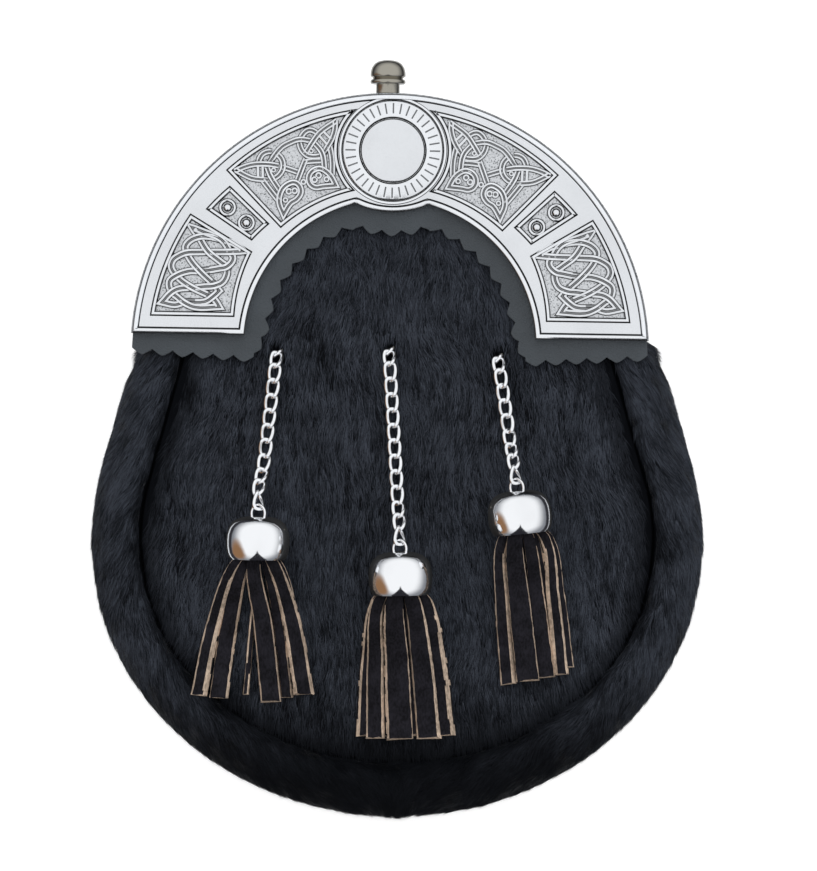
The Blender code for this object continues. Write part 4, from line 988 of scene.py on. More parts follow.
def spread_over(grid, count, seed, weights=None):
    """Random spots on a grid of points, each with its row and column, and with the ways along the
    rows, across them and out of the grid."""
    random = np.random.default_rng(seed)
    a, b, c, d = grid[:-1, :-1], grid[1:, :-1], grid[:-1, 1:], grid[1:, 1:]
    normals = np.cross(d - a, c - b)
    areas = np.linalg.norm(normals, axis=2)
    areas = areas if weights is None else areas * weights
    shares = (areas / areas.sum()).ravel()
    picked = random.choice(len(shares), count, p=shares)
    row, column = np.unravel_index(picked, areas.shape)
    u, v = random.uniform(size=(2, count, 1))
    a, b, c, d = a[row, column], b[row, column], c[row, column], d[row, column]
    spots = (a * (1 - u) + b * u) * (1 - v) + (c * (1 - u) + d * u) * v
    places = np.column_stack((row + u[:, 0], column + v[:, 0]))
    return spots, places, unit(b - a + d - c), unit(c - a + d - b), unit(normals[row, column])


class SPORRAN_OT_hair(bpy.types.Operator):
    """Makes the short hairs on the front and on the rolled band"""

    bl_idname = "sporran.hair"
    bl_label = "Hair"

    def execute(self, context):
        sizes = context.scene.sporran_sizes
        self.make_front(sizes.front_hairs)
        self.make_band(sizes.band_hairs)
        return {"FINISHED"}

    def make_front(self, count):
        stations = pouch_stations(6)
        seams = np.array([tuple(seam) for seam, _, _ in stations + stations[:1]])
        middle = np.array((0.0, WIDEST_Y))
        shares = np.linspace(0.0, 0.972, 60)[None, :, None]
        flat = middle + (seams[:, None] - middle) * shares
        level = hide_level(flat[..., 0], flat[..., 1])
        grid = np.dstack((flat, level))
        spots, places, _, outwards, ups = spread_over(grid, round(count * 1.25), 11)
        ups = ups * np.sign(ups[:, 2])[:, None]
        keep = np.flatnonzero(~(self.under_cantle(spots) | self.in_hole(spots)))[:count]
        spots, places, outwards, ups = spots[keep], places[keep], outwards[keep], ups[keep]
        spots[:, 2] = hide_level(spots[:, 0], spots[:, 1])
        reach = np.linalg.norm(spots[:, :2] - middle, axis=1) / SEAM_HALF_WIDTH
        turn = drift(spots, 18 * MM, 12) * 0.16 + drift(spots, 3.5 * MM, 13) * 0.14
        turn += np.random.default_rng(14).normal(size=len(spots)) * 0.14
        ways = np.column_stack((np.sin(turn), -np.cos(turn), np.zeros(len(spots))))
        ways += outwards * (0.25 * reach**3)[:, None]
        lies = np.column_stack((spots[:, 0] + drift(spots, 15 * MM, 15) * 0.8 * MM, spots[:, 1] * 0.16))
        # Painted shade: hairs darken towards the seam's valley.
        shade = 1 - 0.85 * climbing(places[:, 1] / 59, 0.90, 1.0)
        add_hairs("hair_front", spots, ways, ups, lies, shade, 21)

    def under_cantle(self, spots):
        """Where the hide is well covered by the pinked leather."""
        turned_back = np.array(CANTLE_PLACE.inverted())
        local = spots @ turned_back[:3, :3].T + turned_back[:3, 3]
        away = np.hypot(local[:, 0], local[:, 1] - CANTLE_INNER_Y)
        return (local[:, 1] > TRIM_FOOT_Y + 6 * MM) & (away > CANTLE_INNER_RADIUS - TRIM_SHOWS + 7 * MM)

    def in_hole(self, spots):
        """Where a chain comes out of the hide, and just above it."""
        inside = np.zeros(len(spots), bool)
        for spec in TASSELS:
            hole, _ = chain_start(spec)
            off = spots[:, :2] - np.array(hole)
            inside |= np.hypot(off[:, 0] / 1.15, off[:, 1]) < HOLE_RADIUS
            inside |= (abs(off[:, 0]) < HOLE_RADIUS * 0.8) & (off[:, 1] > 0) & (off[:, 1] < 5.5 * MM)
        return inside

    def make_band(self, count):
        stations = pouch_stations(6)
        rows = []
        for seam, edge, roll in stations + stations[:1]:
            out = (edge - seam).normalized()
            path = gusset_outer(seam, edge, roll)[3:-1]
            rows.append([(seam.x + out.x * across, seam.y + out.y * across, height) for across, height in path])
        grid = np.array(rows)
        weights = np.where(np.arange(grid.shape[1] - 1) < 12, 1.0, 0.4)[None, :]
        spots, places, along, over, ups = spread_over(grid, round(count * 1.35), 31, weights)
        away = spots[:, :2] - np.array((0.0, WIDEST_Y))
        ups = ups * np.sign((ups[:, :2] * away).sum())
        keep = np.flatnonzero((spots[:, 1] < CANTLE_Y + 10 * MM) & (spots[:, 2] > 2 * MM))[:count]
        spots, places, along, over, ups = spots[keep], places[keep], along[keep], over[keep], ups[keep]
        fall = -along[:, 1] / (abs(along[:, 1]) + 0.12)
        wander = drift(spots, 14 * MM, 32) * 0.2 + drift(spots, 3.5 * MM, 33) * 0.16
        wander += np.random.default_rng(34).normal(size=len(spots)) * 0.13
        splay = 0.14 + 0.26 * climbing(-spots[:, 1], -20 * MM, 60 * MM)
        ways = along * fall[:, None] + over * (splay + wander)[:, None]
        lengths = np.linalg.norm(np.diff(grid[:, 8], axis=0), axis=1)
        round_band = np.interp(places[:, 0], np.arange(len(grid)), np.append(0.0, np.cumsum(lengths)))
        across = places[:, 1] * 1.5 * MM
        bent = across * np.sign(fall) - round_band * 0.3
        lies = np.column_stack((bent + drift(spots, 15 * MM, 35) * 0.8 * MM, (round_band + across * 0.3) * 0.16))
        # Painted shade: hairs darken in the seam's valley and towards the band's outer edge.
        shade = (0.12 + 0.88 * climbing(places[:, 1], -0.5, 4.5)) * (1 - 0.4 * climbing(places[:, 1], 8, 14))
        add_hairs("hair_band", spots, ways, ups, lies, shade, 41)


# Pieces of the cantle


def arc_between(first, second, radius, steps=18):
    """Points from the first towards the second on an arc, bowed left of its way or, minus, right."""
    run = second - first
    half = run.length / 2
    if not radius:
        return [first]
    rise = abs(radius) - math.sqrt(radius * radius - half * half)
    left = Vector((-run.y, run.x)).normalized() * math.copysign(1, radius)
    centre = (first + second) / 2 - left * (abs(radius) - rise)
    start, end = first - centre, second - centre
    sweep = start.angle_signed(end)
    return [centre + Matrix.Rotation(-sweep * step / steps, 2) @ start for step in range(steps)]


def panel_outline(name, side):
    corners = PANELS[name]
    line = []
    for index, (x, y, radius) in enumerate(corners):
        after = corners[(index + 1) % len(corners)]
        line += arc_between(Vector((x, y)) * MM, Vector(after[:2]) * MM, radius * MM)
    if side > 0:
        return [Vector((-point.x, point.y)) for point in line[::-1]]
    return line


def cantle_outline():
    """The cantle's whole edge, clockwise: left foot, outer arc, right foot, inner edge."""
    foot = math.degrees(math.asin(CANTLE_FOOT_Y / CANTLE_RADIUS))
    inner_foot = math.degrees(math.asin((CANTLE_FOOT_Y - CANTLE_INNER_Y) / CANTLE_INNER_RADIUS))
    line = [on_arc(CANTLE_RADIUS, mix(180 - foot, foot, step / 150)) for step in range(151)]
    for share in (0.02, 0.25, 0.5, 0.75):
        line.append(line[150].lerp(inner_edge(inner_foot), share))
    inner = [inner_edge(mix(inner_foot, 180 - inner_foot, step / 140)) for step in range(141)]
    line += inner
    for share in (0.25, 0.5, 0.75, 0.98):
        line.append(inner[-1].lerp(line[0], share))
    return line


RIM_OUTER = (
    (0.00, 28.0), (0.00, 29.35), (0.34, 29.42), (0.48, 30.30), (0.68, 30.78), (1.00, 30.97), (1.50, 31.0),
    (1.78, 30.93), (1.92, 30.70), (1.98, 30.25), (2.24, 29.45), (0.9, 28.0),
)
RIM_INNER = (
    (0.00, 28.0), (0.00, 29.90), (0.03, 30.05), (0.12, 30.20), (0.35, 30.45), (0.75, 30.58), (1.10, 30.6),
    (1.40, 30.54), (1.56, 30.38), (1.66, 30.22), (1.96, 29.45), (0.9, 28.0),
)
FRAME_ROWS = (
    (0.02, 28.8), (0.04, 29.45), (0.27, 30.02), (0.34, 30.34), (0.48, 30.50), (1.16, 30.50),
    (1.28, 30.34), (1.36, 30.02), (1.60, 29.42), (1.60, 28.8),
)


def section_of(rows, lift=0.0):
    """Rows of (distance in, height) in millimetres as a section to the right of a clockwise line."""
    return [(-across * MM, height * MM + (lift if height > 29.6 else 0.0)) for across, height in rows]


def strand_section(width, over):
    """Section of a strand: a flat band with a groove along its middle."""
    half = width / 2
    over *= abs(over)
    top = 30.30 + 0.32 * over
    groove = 29.86 + 0.14 * over if width > 1 else top
    rows = (
        (-half - 0.17, 28.9), (-half - 0.16, 29.42), (-half * 0.95, top - 0.30), (-half * 0.88, top - 0.06),
        (-half * 0.62, top), (-half * 0.34, top - 0.04), (-half * 0.16, groove), (half * 0.16, groove),
        (half * 0.34, top - 0.04), (half * 0.62, top), (half * 0.88, top - 0.06), (half * 0.95, top - 0.30),
        (half + 0.16, 29.42), (half + 0.17, 28.9),
    )
    return [(across * MM, height * MM) for across, height in rows]


class SPORRAN_OT_cantle(bpy.types.Operator):
    """Makes the cast cantle: plate, rim, framed panels, woven strands, medallion and skirt"""

    bl_idname = "sporran.cantle"
    bl_label = "Cantle"

    def execute(self, context):
        outline = cantle_outline()
        bm = bmesh.new()
        self.add_flat(bm)
        self.add_plate(bm)
        self.add_rim(bm, outline)
        for side in (-1, 1):
            for name in PANELS:
                points = panel_outline(name, side)
                border(bm, points, lambda index: section_of(FRAME_ROWS))
            self.add_knots(bm, side)
        self.add_medallion(bm)
        self.add_skirt(bm)
        self.darken_lines(bm)
        bm.transform(CANTLE_PLACE)
        metals = [finish_of(name) for name in ("cast_metal", "stippled_metal", "shade_painted_metal", "half_shade_painted_metal")]
        finished("cantle_casting", bm, metals, 38, ["cantle"])
        return {"FINISHED"}

    def darken_lines(self, bm):
        """Painted shade: steep flanks of the raised work near the ground get a dark copy of the metal, and flat faces
        sunk below the flat a grey one.
        """
        bm.normal_update()
        for face in bm.faces:
            height = face.calc_center_median().z
            if 0.2 < face.normal.z < 0.72 and GROUND_Z - 0.05 * MM < height < GROUND_Z + 1.25 * MM:
                face.material_index = 2
            if face.normal.z > 0.9 and GROUND_Z + 0.1 * MM < height < FLAT_Z - 0.17 * MM:
                face.material_index = 3

    def add_band(self, bm, inset, low, high):
        """Adds the cantle's whole shape, with every edge moved in, between two heights."""
        steps = 150
        radius = CANTLE_RADIUS - inset
        radius -= (RIM_OUTER[-2][0] - RIM_INNER[-2][0]) * MM if high == FLAT_Z else 0
        foot = math.degrees(math.asin((CANTLE_FOOT_Y + inset) / radius))
        inner_foot = math.degrees(math.asin((CANTLE_FOOT_Y + inset - CANTLE_INNER_Y) / (CANTLE_INNER_RADIUS + inset)))

        def place(row, column):
            share = row / steps
            if column in (0, 1):
                spot = inner_edge(mix(inner_foot, 180 - inner_foot, share), -inset)
            else:
                spot = on_arc(radius, mix(foot, 180 - foot, share))
            return Vector((spot.x, spot.y, low if column in (0, 3) else high))

        return woven(bm, steps + 1, 4, place)

    def add_plate(self, bm):
        for face in self.add_band(bm, 0.1 * MM, CANTLE_BACK_Z, GROUND_Z):
            face.material_index = 1 if face.normal.z > 0.9 else 0

    def add_flat(self, bm):
        """The polished flat, with windows over the panels, the medallion and the line inside the rim."""
        work = bmesh.new()
        self.add_band(work, 2.0 * MM, GROUND_Z - 0.2 * MM, FLAT_Z)
        flat = loose("flat", work)
        windows = bmesh.new()
        for side in (-1, 1):
            for name in PANELS:
                block(windows, panel_outline(name, side), GROUND_Z - 0.6 * MM, FLAT_Z + MM)
        turned(
            windows,
            [(0, 28 * MM), (16.2 * MM, 28 * MM), (16.2 * MM, FLAT_Z + MM), (0, FLAT_Z + MM)],
            96, Matrix.Translation((0, MEDALLION_Y, 0)),
        )
        cut(flat, loose("windows", windows))
        bm.from_mesh(flat.data)
        bpy.data.objects.remove(flat, do_unlink=True)

    def add_rim(self, bm, outline):
        outer, inner = section_of(RIM_OUTER), section_of(RIM_INNER)
        lengths = []
        for point in outline:
            away = Vector((point.x, point.y - CANTLE_INNER_Y)).length
            at_foot = point.y < CANTLE_FOOT_Y + 0.01 * MM and away < CANTLE_RADIUS - 0.5 * MM
            lengths.append(1.0 if at_foot else min(1.0, max(0.0, (CANTLE_RADIUS - 12 * MM - away) / (12 * MM))))

        def profile(index):
            share = lengths[index]
            return [(mix(a[0], b[0], share), mix(a[1], b[1], share)) for a, b in zip(outer, inner)]

        border(bm, outline, profile)

    def add_knots(self, bm, side):
        def strand(rows, width, closed):
            points = [Vector((x * MM * -side, y * MM, over * MM)) for x, y, over in rows]
            line = flowing(points, 4, closed)
            border(bm, line, lambda index: strand_section(width, line[index].z / MM), closed)

        strand(LOWER_KNOT, 2.2, True)
        for rows in UPPER_HEADS:
            strand(rows, 1.9, True)
        for rows in UPPER_RUNS:
            strand(rows, 1.8, False)
        for rows in UPPER_BARS:
            strand(rows, 0.8, False)

        def dot(x, y, size, rows, steps):
            spot = Matrix.Translation((x * MM * -side, y * MM, 0))
            turned(bm, [(radius * size * MM, height * MM) for radius, height in rows], steps, spot)

        for x, y in BOSSES:
            dot(x, y, 0.93, BOSS_RING, 40)
            dot(x, y, 0.93, BOSS_MIDDLE, 40)
        for x, y, size in UPPER_EYES:
            dot(x, y, size, EYE_ROWS, 20)

    def add_medallion(self, bm):
        place = Matrix.Translation((0, MEDALLION_Y, 0))
        disc = [(0, 30.28), (8.9, 30.28), (9.25, 30.24), (9.4, 30.1), (9.62, 29.45), (9.62, 28.9)]
        ridge = [(15.10, 28.9), (15.12, 29.45), (15.32, 30.1), (15.42, 30.5), (15.72, 30.66), (16.02, 30.62),
                 (16.18, 30.45), (16.26, 30.1), (16.5, 29.45), (16.5, 28.9)]
        for rows in (disc, ridge):
            turned(bm, [(radius * MM, height * MM) for radius, height in rows], 120, place)
        work = bmesh.new()
        ring = [(9.72, 28.9), (9.74, 29.45), (9.98, 30.2), (10.15, 30.52), (10.5, 30.6), (14.5, 30.5), (14.8, 30.3),
                (15.05, 29.45), (15.05, 28.9), (9.72, 28.9)]
        turned(work, [(radius * MM, height * MM) for radius, height in ring], 144, place)
        ticked = loose("ring", work)
        ticks = bmesh.new()
        count = bpy.context.scene.sporran_sizes.medallion_ticks
        for step in range(count):
            turn = Matrix.Rotation(math.tau * step / count, 4, "Z")
            spot = place @ turn @ Matrix.Translation((12.65 * MM, 0, 30.3 * MM))
            bmesh.ops.create_cube(ticks, size=1, matrix=spot @ Matrix.Diagonal((3.1 * MM, 0.46 * MM, 1.1 * MM, 1)))
        cut(ticked, loose("ticks", ticks))
        bm.from_mesh(ticked.data)
        bpy.data.objects.remove(ticked, do_unlink=True)

    def add_skirt(self, bm):
        steps = 120
        line = [on_arc(CANTLE_RADIUS - 0.15 * MM, mix(180 - SKIRT_START, SKIRT_START, step / steps)) for step in range(steps + 1)]
        rows = [(0, 29.0 * MM), (0, SKIRT_LOW_Z + 0.3 * MM), (-0.3 * MM, SKIRT_LOW_Z), (0.3 * MM - SKIRT_WALL, SKIRT_LOW_Z),
                (-SKIRT_WALL, SKIRT_LOW_Z + 0.3 * MM), (-SKIRT_WALL, 29.0 * MM)]
        border(bm, line, lambda index: rows, closed=False)


class SPORRAN_OT_trim(bpy.types.Operator):
    """Makes the pinked leather that shows inside the cantle and under its feet"""

    bl_idname = "sporran.trim"
    bl_label = "Pinked leather"

    def execute(self, context):
        outline = self.outline()
        bm = bmesh.new()
        block(bm, outline, TRIM_Z, TRIM_Z + TRIM_WALL, 0.2 * MM)
        bm.transform(CANTLE_PLACE)
        finished("pinked_leather", bm, [finish_of("grey_leather")], 40, ["leather_trim"])
        return {"FINISHED"}

    def pinked(self, points):
        """The line with sharp notches, and a rounded tooth between each two."""
        lengths = [0.0]
        for first, second in zip(points, points[1:]):
            lengths.append(lengths[-1] + (second - first).length)
        sizes = bpy.context.scene.sporran_sizes
        teeth = max(1, round(lengths[-1] / sizes.tooth_pitch))
        line = []
        for step in range(teeth * 8 + 1):
            goal = lengths[-1] * step / (teeth * 8)
            index = max(i for i in range(len(points) - 1) if lengths[i] <= goal or i == 0)
            run = points[index + 1] - points[index]
            spot = points[index] + run * ((goal - lengths[index]) / run.length)
            out = Vector((-run.y, run.x)).normalized()
            rise = 1 - abs((step % 8) / 4 - 1) ** 1.35
            line.append(spot + out * sizes.tooth_depth * (rise - 0.5))
        return line

    def outline(self):
        inner = [inner_edge(mix(4, 176, step / 80), TRIM_SHOWS) for step in range(81)]
        low = TRIM_FOOT_Y
        foot_in = CANTLE_INNER_RADIUS - TRIM_SHOWS * 0.45
        foot_out = CANTLE_RADIUS - GAP
        line = self.pinked([Vector((foot_out, low)), Vector((foot_in, low - TRIM_FOOT_SLOPE))])
        ends = Vector((foot_in, low - TRIM_FOOT_SLOPE / 2)), Vector((-foot_in, low - TRIM_FOOT_SLOPE / 2))
        line += self.pinked([ends[0], *inner, ends[1]])[1:-1]
        line += self.pinked([Vector((-foot_in, low - TRIM_FOOT_SLOPE)), Vector((-foot_out, low))])
        tucked = CANTLE_RADIUS - SKIRT_WALL - SKIRT_CLEARANCE
        line += [on_arc(foot_out, 180 - SKIRT_START * share) for share in (0.3, 0.6, 0.85)]
        line += [on_arc(tucked, mix(180 - SKIRT_START, SKIRT_START, step / 60)) for step in range(61)]
        line += [on_arc(foot_out, SKIRT_START * share) for share in (0.85, 0.6, 0.3)]
        return line


class SPORRAN_OT_knob(bpy.types.Operator):
    """Makes the knob on the cantle"""

    bl_idname = "sporran.knob"
    bl_label = "Knob"

    def execute(self, context):
        rows = (
            (0, 0), (1.8, 0), (1.8, 4.3), (3.3, 4.3), (3.55, 4.5), (3.55, 7.0), (3.7, 7.25), (5.0, 7.3), (5.25, 7.5),
            (5.3, 8.1), (5.1, 8.5), (4.6, 8.75), (4.45, 9.0), (4.7, 9.25), (5.2, 9.5), (5.3, 9.9), (5.25, 10.9),
            (4.95, 12.1), (4.2, 13.3), (3.0, 14.1), (1.5, 14.44), (0, 14.5),
        )
        seat = math.sqrt(CANTLE_RADIUS**2 - KNOB_X**2) + GAP
        place = CANTLE_PLACE @ Matrix.Translation((KNOB_X, seat - 4.5 * MM, KNOB_Z)) @ Matrix.Rotation(math.radians(-90), 4, "X")
        bm = bmesh.new()
        turned(bm, [(radius * MM, height * MM) for radius, height in rows], 72, place)
        finished("knob", bm, [finish_of("dull_nickel")], 50, ["cantle_knob"])
        return {"FINISHED"}


# Chains, caps and strips


def chain_start(spec):
    """Place of a chain's hole in the hide, and its way across the hide to the cap."""
    _, hole_x, hole_y, cap_x, cap_y, _ = spec
    hole = Vector((POUCH_HALF_WIDTH * hole_x, WIDEST_Y + POUCH_HALF_WIDTH * hole_y))
    cap = Vector((POUCH_HALF_WIDTH * cap_x, WIDEST_Y + POUCH_HALF_WIDTH * cap_y))
    return hole, (cap - hole).normalized()


def cap_frame(spec):
    """Middle of a cap's top and the way its axis points, from the top to the mouth."""
    _, _, _, cap_x, cap_y, lean = spec
    turn = math.radians(lean)
    down = Vector((math.sin(turn), -math.cos(turn), 0))
    x = POUCH_HALF_WIDTH * cap_x
    y = WIDEST_Y + POUCH_HALF_WIDTH * cap_y
    corners = [(dx, dy) for dx in (-CAP_RADIUS / 2, CAP_RADIUS / 2) for dy in (-CAP_HEIGHT / 2, 0)]
    lowest = max(hide_level(x + dx, y + dy) for dx, dy in corners)
    return Vector((x, y, lowest + GAP + CAP_RADIUS)) - down * (CAP_HEIGHT / 2), down


def chain_route(spec, link):
    """Route of a chain's middle: up out of its hole, along the hide, and up to the cap's staple."""
    hole, travel = chain_start(spec)
    top, down = cap_frame(spec)
    lying = LINK_WIDTH * 0.47 + GAP
    held = STAPLE_LIFT + STAPLE_RADIUS - (STAPLE_WIRE + LINK_WIRE) / 2 - 2 * GAP
    fall = (-down + Vector((0, 0, -1)) * CHAIN_FALL).normalized()
    finish = top - down * held + fall * ((link - LINK_WIRE) / 2)
    start = Vector((hole.x, hole.y, hide_level(hole.x, hole.y) - PANEL_WALL - 2 * GAP))
    run = Vector((finish.x - hole.x, finish.y - hole.y, 0))
    way = run.normalized()

    def at(along, above):
        spot = start + way * along
        return Vector((spot.x, spot.y, hide_level(spot.x, spot.y) + above))

    first = LINK_PITCH * 1.2
    points = [start, start + Vector((0, 0, PANEL_WALL + GAP)) + way * (HOLE_RADIUS * 0.25), at(first, lying)]
    points += [at(mix(first, run.length - LINK_PITCH * 2.4, step / 4), lying) for step in range(1, 5)]
    return points + [finish + fall * LINK_PITCH, finish]


def smooth_route(points, steps):
    """A smooth curve through the points."""
    route = []
    ends = [points[0] * 2 - points[1]] + points + [points[-1] * 2 - points[-2]]
    for index in range(1, len(ends) - 2):
        before, first, second, after = ends[index - 1 : index + 3]
        for step in range(steps):
            t = step / steps
            curve = first * 2 + (second - before) * t + (before * 2 - first * 5 + second * 4 - after) * t**2
            route.append((curve + (first * 3 - before - second * 3 + after) * t**3) / 2)
    return route + [points[-1]]


def spaced(route, count):
    """Points at equal distances along the route, with the way it runs at each."""
    lengths = [0.0]
    for first, second in zip(route, route[1:]):
        lengths.append(lengths[-1] + (second - first).length)
    spots = []
    for step in range(count + 1):
        goal = lengths[-1] * step / count
        index = max(i for i in range(len(route) - 1) if lengths[i] <= goal or i == 0)
        run = route[index + 1] - route[index]
        spots.append((route[index] + run * ((goal - lengths[index]) / run.length), run.normalized()))
    return spots, lengths[-1] / count


def chain_layout(spec):
    """Middle and way of each link from the hole to the cap, and the links' length."""
    link = LINK_PITCH + 2 * LINK_WIRE - LINK_BITE
    for _ in range(4):
        route = smooth_route(chain_route(spec, link), 8)
        total = sum((second - first).length for first, second in zip(route, route[1:]))
        spots, pitch = spaced(route, max(3, round(total / LINK_PITCH)))
        link = pitch + 2 * LINK_WIRE - LINK_BITE
    return spots, link


def link_across(spec, along, index):
    """Way of a link's width: the curb links lie nearly flat, the last one leans for its staple."""
    _, travel = chain_start(spec)
    level = Vector((-travel.y, travel.x, 0))
    over = along.cross(level).normalized()
    lean = -1.0 if index == len(chain_layout(spec)[0]) - 1 else 0.25
    return (level + over * lean).normalized()


def add_link(bm, middle, along, across, length):
    """Adds one link: wire bent to a loop with round ends and twisted, so that the chain lies flat."""
    normal = along.cross(across).normalized()
    half_straight = (length - LINK_WIDTH) / 2
    bend = (LINK_WIDTH - LINK_WIRE) / 2

    def place(row, column):
        turn = math.tau * (row + 0.5) / 28
        out = along * math.cos(turn) + across * math.sin(turn)
        spot = middle + out * bend + along * half_straight * math.cos(turn) * (1.6 - 0.6 * math.cos(turn) ** 2)
        spot += normal * LINK_TWIST * math.sin(2 * turn)
        lie = math.tau * column / 12
        return spot + (out * math.cos(lie) + normal * math.sin(lie)) * (LINK_WIRE / 2)

    woven(bm, 28, 12, place, closed_rows=True)


class SPORRAN_OT_chains(bpy.types.Operator):
    """Makes the three chains"""

    bl_idname = "sporran.chains"
    bl_label = "Chains"

    def execute(self, context):
        for spec in TASSELS:
            spots, length = chain_layout(spec)
            bm = bmesh.new()
            for index, (middle, along) in enumerate(spots):
                add_link(bm, middle, along, link_across(spec, along, index), length)
            name = spec[0]
            finished(f"curb_chain_{name}", bm, [finish_of("bright_metal")], 60, [f"chain_{name}"])
        return {"FINISHED"}


CAP_ROWS = (
    (0.00, 0.00), (0.18, 0.000), (0.34, 0.012), (0.52, 0.035), (0.70, 0.085), (0.84, 0.17), (0.93, 0.28),
    (0.985, 0.42), (1.00, 0.56), (0.995, 0.70), (0.965, 0.84), (0.915, 0.94), (0.865, 0.985), (0.85, 1.00),
    (0.80, 1.00), (0.785, 0.985), (0.83, 0.93), (0.90, 0.80), (0.92, 0.60), (0.86, 0.30), (0.60, 0.16), (0.00, 0.13),
)


class SPORRAN_OT_caps(bpy.types.Operator):
    """Makes the tassels' bell caps with their staples"""

    bl_idname = "sporran.caps"
    bl_label = "Caps"

    def execute(self, context):
        for spec in TASSELS:
            bm = bmesh.new()
            rows = [(CAP_RADIUS * radius, -CAP_HEIGHT * height) for radius, height in CAP_ROWS]
            turned(bm, rows, 96)

            def place(row, column):
                turn = math.tau * row / 32
                lie = math.tau * column / 12
                reach = STAPLE_RADIUS + math.cos(lie) * STAPLE_WIRE / 2
                height = reach * math.sin(turn) + STAPLE_LIFT - GAP
                return Vector((reach * math.cos(turn), math.sin(lie) * STAPLE_WIRE / 2, height))

            woven(bm, 32, 12, place, closed_rows=True)
            top, down = cap_frame(spec)
            spots, _ = chain_layout(spec)
            along = spots[-1][1]
            face = along.cross(link_across(spec, along, len(spots) - 1))
            up = -down
            side = (face - up * face.dot(up)).normalized()
            turn = Matrix((side, up.cross(side), up)).transposed().to_4x4()
            bm.transform(Matrix.Translation(top) @ turn)
            finished(f"bell_cap_{spec[0]}", bm, [finish_of("bright_metal")], 50, [f"cap_{spec[0]}"])
        return {"FINISHED"}


def add_strip(bm, spec, row):
    """Adds one leather strip, from inside the cap down onto the hide, its raw edges turned up."""
    root, tip, length_share, wide, left, right, layer = row
    top, down = cap_frame(spec)
    mouth = top + down * CAP_HEIGHT
    side = Vector((-down.y, down.x, 0))
    length = STRIP_LENGTH * length_share
    held = (CAP_RADIUS * CAP_MOUTH - CAP_WALL - GAP) * 0.62
    end = STRIP_LENGTH * tip
    keys = [
        Vector((-HEAD_LENGTH / 2, root * held, 0.50 * MM)),
        Vector((1.5 * MM, root * CAP_RADIUS * 0.86, 0.66 * MM)),
        Vector((length * 0.45, mix(root * CAP_RADIUS, end, 0.52), 0.92 * MM)),
        Vector((length, end, 1.0 * MM)),
    ]
    line = flowing(keys, 14, corner=179)
    slack = HEAD_LENGTH / 2
    section = ((-0.5, 0, 0), (-0.5, 0.3, 0.55), (-0.5, 1, 1), (-0.17, 0, 1.08), (0.17, 0, 1.08), (0.5, -1, 1),
               (0.5, -0.3, 0.55), (0.5, 0, 0))

    def place(index, column):
        along, across, width = line[index]
        share, inset, rise = section[column]
        fall = min(1.0, max(0.0, along / (length * 0.45)))
        fall = fall * fall * (3 - 2 * fall)
        ragged = noise.noise(Vector((along * 900, column * 7.1 + root * 31, tip * 57)))
        along -= rise * 0.35 * MM * (index == len(line) - 1) - ragged * 0.5 * MM * (index == len(line) - 1)
        shown = left if inset > 0 else right
        open_share = min(1.0, max(0.0, (along + slack) / (4 * slack)))
        spread = (wide * share + inset * shown * open_share + ragged * 0.22 * (inset != 0)) * width
        point = mouth + down * along + side * (across + spread)
        lying = lying_level(point.x, point.y) + GAP + STRIP_WALL * layer * STRIP_LAP
        held_low = mouth.z + (layer - 1.5) * STRIP_WALL * STRIP_LAP
        low = mix(held_low, lying, fall)
        return Vector((point.x, point.y, low + STRIP_WALL * rise))

    # Painted shade: the lower facet of each raw edge keeps the strip's dark face finish, as shade along the foot of
    # the edge.
    for face in woven(bm, len(line), len(section), place):
        slope = face.normal.dot(side)
        shown = left if slope < 0 else right
        under = 0.99 / math.hypot(0.99, 0.3 * shown) - 0.004
        raw = 0.35 < abs(slope) < under or face.normal.dot(down) > 0.75
        face.material_index = 1 if raw else 0


class SPORRAN_OT_tassels(bpy.types.Operator):
    """Makes the leather strips of each tassel"""

    bl_idname = "sporran.tassels"
    bl_label = "Tassels"

    def execute(self, context):
        for spec in TASSELS:
            bm = bmesh.new()
            top, down = cap_frame(spec)
            radius = CAP_RADIUS * CAP_MOUTH - CAP_WALL - GAP
            place = Matrix.Translation(top + down * (CAP_HEIGHT - GAP - HEAD_LENGTH)) @ down.to_track_quat("Z", "Y").to_matrix().to_4x4()
            turned(bm, [(0, 0), (radius, 0), (radius, HEAD_LENGTH), (0, HEAD_LENGTH)], 32, place)
            for row in STRIPS[spec[0]]:
                add_strip(bm, spec, row)
            materials = [finish_of("strip_face"), finish_of("strip_edge")]
            finished(f"strips_{spec[0]}", bm, materials, 40, [f"tassel_{spec[0]}"])
        return {"FINISHED"}


# Stage


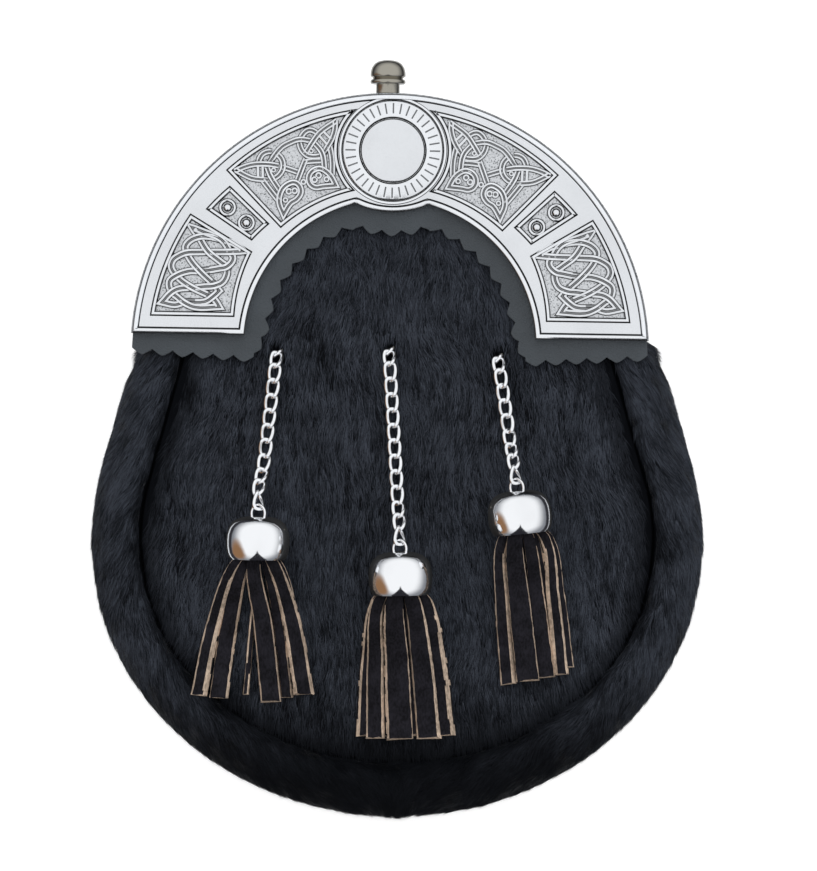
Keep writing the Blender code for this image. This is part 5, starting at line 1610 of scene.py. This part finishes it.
class SPORRAN_OT_stage(bpy.types.Operator):
    """Makes the pale floor, the soft light and the camera"""

    bl_idname = "sporran.stage"
    bl_label = "Stage"

    def execute(self, context):
        bm = bmesh.new()
        bmesh.ops.create_grid(bm, x_segments=1, y_segments=1, size=3.0)
        mesh = bpy.data.meshes.new("floor")
        bm.to_mesh(mesh)
        bm.free()
        mesh.materials.append(floor_finish())
        floor = bpy.data.objects.new("floor", mesh)
        context.scene.collection.objects.link(floor)
        floor.visible_glossy = False
        self.add_light("softbox", 1.6, 5, (0.15, 0.8, 1.6))
        self.add_world(context)
        self.add_camera(context)
        context.scene.view_settings.view_transform = "Standard"
        return {"FINISHED"}

    def add_world(self, context):
        """A pale room, brighter overhead, with a dark and a wooden thing standing low in front."""
        room = Finish("studio", "Background", "Generated")
        context.scene.world = room.material
        walls = room.mix(room.towards((0.03, 0.22, 0.97)).between(-0.25, 0.55), (0.22, 0.23, 0.25), (0.93, 0.94, 0.95))
        wood = room.towards((-0.90, -0.42, 0.10)).between(0.80, 0.96)
        aside = room.towards((1, 0, 0)).maths("ABSOLUTE", room.towards((1, 0, 0)))
        stand = (room.towards((0, -1, -0.35)) - aside * 2.1).between(0.0, 0.08)
        down = room.towards((0, 0, -1))
        seen = room.mix(stand, room.mix(wood, walls, (0.26, 0.14, 0.07)), (0.02, 0.02, 0.025))
        seen = room.mix(down.between(0.26, 0.40), seen, (0.03, 0.03, 0.035))
        seen = room.mix(down.between(0.60, 0.74), seen, (0.85, 0.87, 0.90))
        room.set(Color=seen, Strength=1.0)

    def add_light(self, name, size, power, place):
        data = bpy.data.lights.new(name, "AREA")
        data.shape = "DISK"
        data.size = size
        data.energy = power
        light = bpy.data.objects.new(name, data)
        bpy.context.scene.collection.objects.link(light)
        light.location = place
        light.rotation_euler = (-Vector(place)).to_track_quat("-Z", "Y").to_euler()
        light.visible_glossy = False

    def add_camera(self, context):
        data = bpy.data.cameras.new("camera")
        data.sensor_fit = "VERTICAL"
        data.sensor_height = 24
        distance = 1.5
        shown = 261.3 * MM
        data.lens = 12 * distance / (shown / 2)
        data.clip_start = 0.05
        data.clip_end = 20
        camera = bpy.data.objects.new("camera", data)
        camera.location = (3.45 * MM, 0.99 * MM, 27 * MM + distance)
        context.scene.collection.objects.link(camera)
        context.scene.camera = camera


class SPORRAN_PT_panel(bpy.types.Panel):
    """Lists the operators in the sidebar"""

    bl_idname = "SPORRAN_PT_panel"
    bl_label = "Sporran pouch"
    bl_space_type = "VIEW_3D"
    bl_region_type = "UI"
    bl_category = "Sporran"

    def draw(self, context):
        for operator in OPERATORS:
            self.layout.operator(operator.bl_idname)
        for group in (context.scene.sporran_sizes, context.scene.sporran_colours):
            for name in group.__annotations__:
                self.layout.prop(group, name)


OPERATORS = (
    SPORRAN_OT_materials,
    SPORRAN_OT_hide,
    SPORRAN_OT_hair,
    SPORRAN_OT_cantle,
    SPORRAN_OT_trim,
    SPORRAN_OT_knob,
    SPORRAN_OT_chains,
    SPORRAN_OT_caps,
    SPORRAN_OT_tassels,
    SPORRAN_OT_stage,
)
CLASSES = (SPORRAN_PG_sizes, SPORRAN_PG_colours, *OPERATORS, SPORRAN_PT_panel)


def register():
    for item in CLASSES:
        bpy.utils.register_class(item)
    bpy.types.Scene.sporran_sizes = bpy.props.PointerProperty(type=SPORRAN_PG_sizes)
    bpy.types.Scene.sporran_colours = bpy.props.PointerProperty(type=SPORRAN_PG_colours)


def unregister():
    del bpy.types.Scene.sporran_colours
    del bpy.types.Scene.sporran_sizes
    for item in reversed(CLASSES):
        bpy.utils.unregister_class(item)


def main():
    register()
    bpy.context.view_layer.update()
    bpy.ops.sporran.materials()
    bpy.ops.sporran.hide()
    bpy.ops.sporran.hair()
    bpy.ops.sporran.cantle()
    bpy.ops.sporran.trim()
    bpy.ops.sporran.knob()
    bpy.ops.sporran.chains()
    bpy.ops.sporran.caps()
    bpy.ops.sporran.tassels()
    bpy.ops.sporran.stage()


if __name__ == "__main__":
    main()
